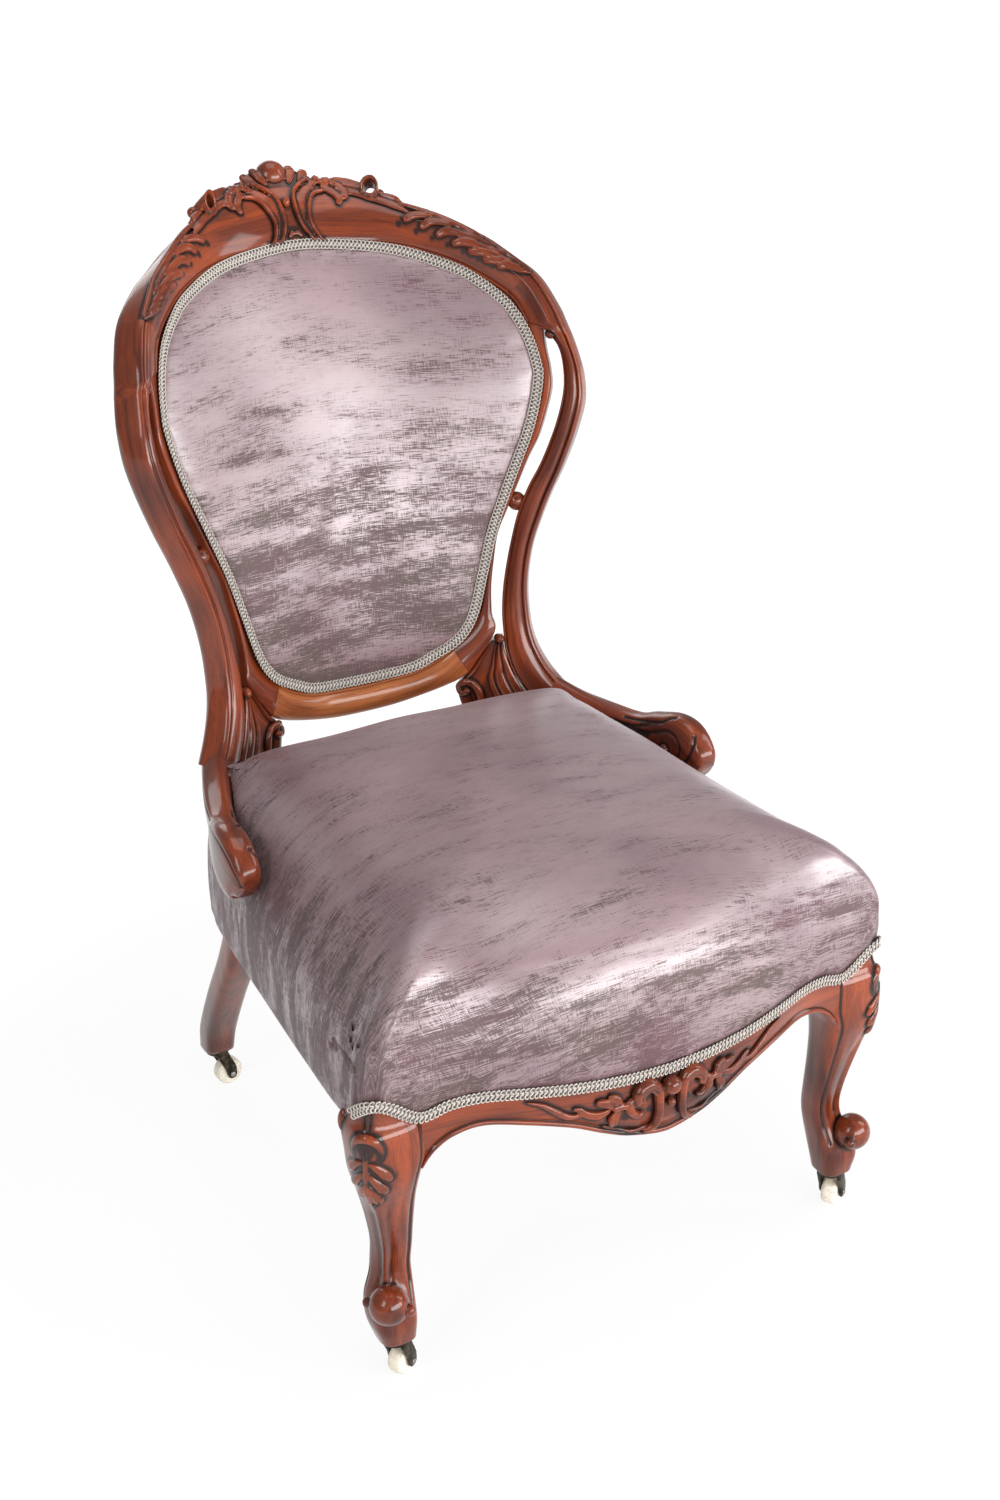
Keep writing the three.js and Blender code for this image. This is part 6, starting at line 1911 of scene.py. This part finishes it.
def lathe(profile, sides=40, axis="z", shift=(0, 0, 0)):
    """A turned solid from (radius, along) pairs that start and end on the axis or close on themselves."""
    closed = profile[0][0] > 0
    angles = np.linspace(0, 2 * math.pi, sides, endpoint=False)
    rows = profile if closed else profile[1:-1]
    rings = np.array([[(r * math.cos(a), r * math.sin(a), h) for a in angles] for r, h in rows])
    if axis == "y":
        rings = rings[..., [0, 2, 1]]
    return rings_solid(rings + np.array(shift), joined=closed)


half_wheel = [(bore_radius, wheel_half - hub_dish), (hub_radius, wheel_half)]
for t in np.linspace(0, math.pi / 2, 6):
    corner_radius, corner_along = wheel_radius - wheel_round, wheel_half - wheel_round
    half_wheel.append((corner_radius + wheel_round * math.sin(t), corner_along + wheel_round * math.cos(t)))
wheel_solid = lathe([(radius, -along) for radius, along in half_wheel] + half_wheel[::-1], 56, "y", axle_place)
axle_solid = lathe(np.array(axle_profile) * MM, 24, "y", axle_place)
screws = [(screw_circle * math.cos(t), screw_circle * math.sin(t), plate_low) for t in screw_turns]
plate_solid = together(
    lathe(np.array(plate_profile) * MM), *[ball(place, screw_radius, (1, 1, 0.5), 8, 14) for place in screws])
print("a wheel has", len(wheel_solid[1]), "faces")

# %% Horn of a castor
horn_gap, horn_wall, cheek_soft, cheek_round = 0.0007, 0.0035, 0.0005, 0.0009
cheek_outline = [
    (-6.2, 44.8), (6.2, 44.8), (10.5, 36), (15.2, 26), (16.6, 17.5), (15.8, 11.5), (12.5, 9.2), (8.5, 9.8),
    (6, 13.5), (3.5, 22), (-1.5, 32),
]


def cheek(side):
    """One cheek of the horn, with its edges eased."""
    outline = spline(cheek_outline, 4, closed=True) * MM
    middle = outline.mean(0)
    start = wheel_half + horn_gap
    end = start + horn_wall
    rings = []
    for share, place in ((0.93, start), (1, start + cheek_soft), (1, end - cheek_round), (0.9, end)):
        x, z = (middle + (outline - middle) * share).T
        rings.append(np.stack([x, np.full_like(x, side * place), z], 1))
    return rings_solid(rings)


horn_solid = together(lathe(np.array(crown_profile) * MM), cheek(1), cheek(-1))
print("a horn has", len(horn_solid[1]), "faces")

# %% Set the castors
castor_turns = {"front_right": 32, "front_left": 30, "back_right": 15, "back_left": 5}
for label, degrees in castor_turns.items():
    low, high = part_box(f"castor_plate_{label}")
    pivot = np.array([(low.x + high.x) / 2, (low.y + high.y) / 2, 0])
    c, s = math.cos(math.radians(degrees)), math.sin(math.radians(degrees))
    turned = np.array([[c, -s, 0], [s, c, 0], [0, 0, 1]])
    for part, solid, material, slot, body in (
            ("plate", plate_solid, old_brass, "castor_brass", HULL),
            ("horn", horn_solid, old_brass, "castor_brass", f"castor_{label}"),
            ("axle", axle_solid, wire, "steel", f"castor_{label}"),
            ("wheel", wheel_solid, ceramic, "ceramic", f"wheel_{label}")):
        verts = solid[0] @ turned.T + pivot
        made = mesh_object(f"turned_{part}_{label}", (verts, solid[1], verts))
        finish_piece(made, material, body, [f"castor_{part}_{label}"])
    print("castor", label, "stands at", pivot[:2].round(3), "turned by", degrees, "degrees")

# %% [markdown]
# ## Studio
# The floor is pale and seamless. Camera rays see it almost white, while it still catches the chair's
# shadow; metal and polish see the same paleness in their reflections.

# %% Floor
floor_half, floor_grey = 6, (0.8, 0.8, 0.8, 1)
glow_from, glow_slope, glow_rise, glow_level, seen_share = 0.5, 0.22, 0.2, 1.03, 0.86
floor_corners = [(x * floor_half, y * floor_half, 0) for x, y in ((-1, -1), (1, -1), (1, 1), (-1, 1))]
floor = link_mesh("studio_floor", np.array(floor_corners, float), [(0, 1, 2, 3)])
floor_material, floor_graph, floor_shader = material_graph("studio_floor")
floor_graph.tune(floor_shader, Base_Color=floor_grey, Roughness=0.9)
floor_place = floor_graph.add("ShaderNodeTexCoord").outputs["Object"]
far = floor_graph.add("ShaderNodeVectorMath", operation="LENGTH")
floor_graph.link(floor_place, far.inputs[0])
away = floor_graph.math("MULTIPLY", floor_graph.math("SUBTRACT", far.outputs["Value"], glow_from), glow_slope)
away = floor_graph.math("MINIMUM", floor_graph.math("MAXIMUM", away, 0.0), glow_rise)
glow = floor_graph.add("ShaderNodeEmission", Strength=floor_graph.math("ADD", away, glow_level))
rays = floor_graph.add("ShaderNodeLightPath")
seen = floor_graph.math("MAXIMUM", rays.outputs["Is Camera Ray"], rays.outputs["Is Glossy Ray"])
veil = floor_graph.add("ShaderNodeMixShader")
floor_output = next(node for node in floor_graph.tree.nodes if node.type == "OUTPUT_MATERIAL")
floor_graph.link(floor_graph.math("MULTIPLY", seen, seen_share), veil.inputs[0])
floor_graph.link(floor_shader.outputs[0], veil.inputs[1])
floor_graph.link(glow.outputs[0], veil.inputs[2])
floor_graph.link(veil.outputs[0], floor_output.inputs[0])
floor.data.materials.append(floor_material)
print("the floor is", 2 * floor_half, "m wide")

# %% World
white, seen_strength, room_strength = (1, 1, 1, 1), 1.0, 0.34
world = bpy.data.worlds.new("studio_world")
scene.world = world
world.use_nodes = True
sky = Graph(world.node_tree)
seen_light = sky.add("ShaderNodeBackground", Color=white, Strength=seen_strength)
room_light = sky.add("ShaderNodeBackground", Color=white, Strength=room_strength)
sky_rays = sky.add("ShaderNodeLightPath")
sky_mix = sky.add("ShaderNodeMixShader")
sky.link(sky_rays.outputs["Is Camera Ray"], sky_mix.inputs[0])
sky.link(room_light.outputs[0], sky_mix.inputs[1])
sky.link(seen_light.outputs[0], sky_mix.inputs[2])
sky.link(sky_mix.outputs[0], sky.add("ShaderNodeOutputWorld").inputs[0])
print("the room's light has a strength of", room_strength)
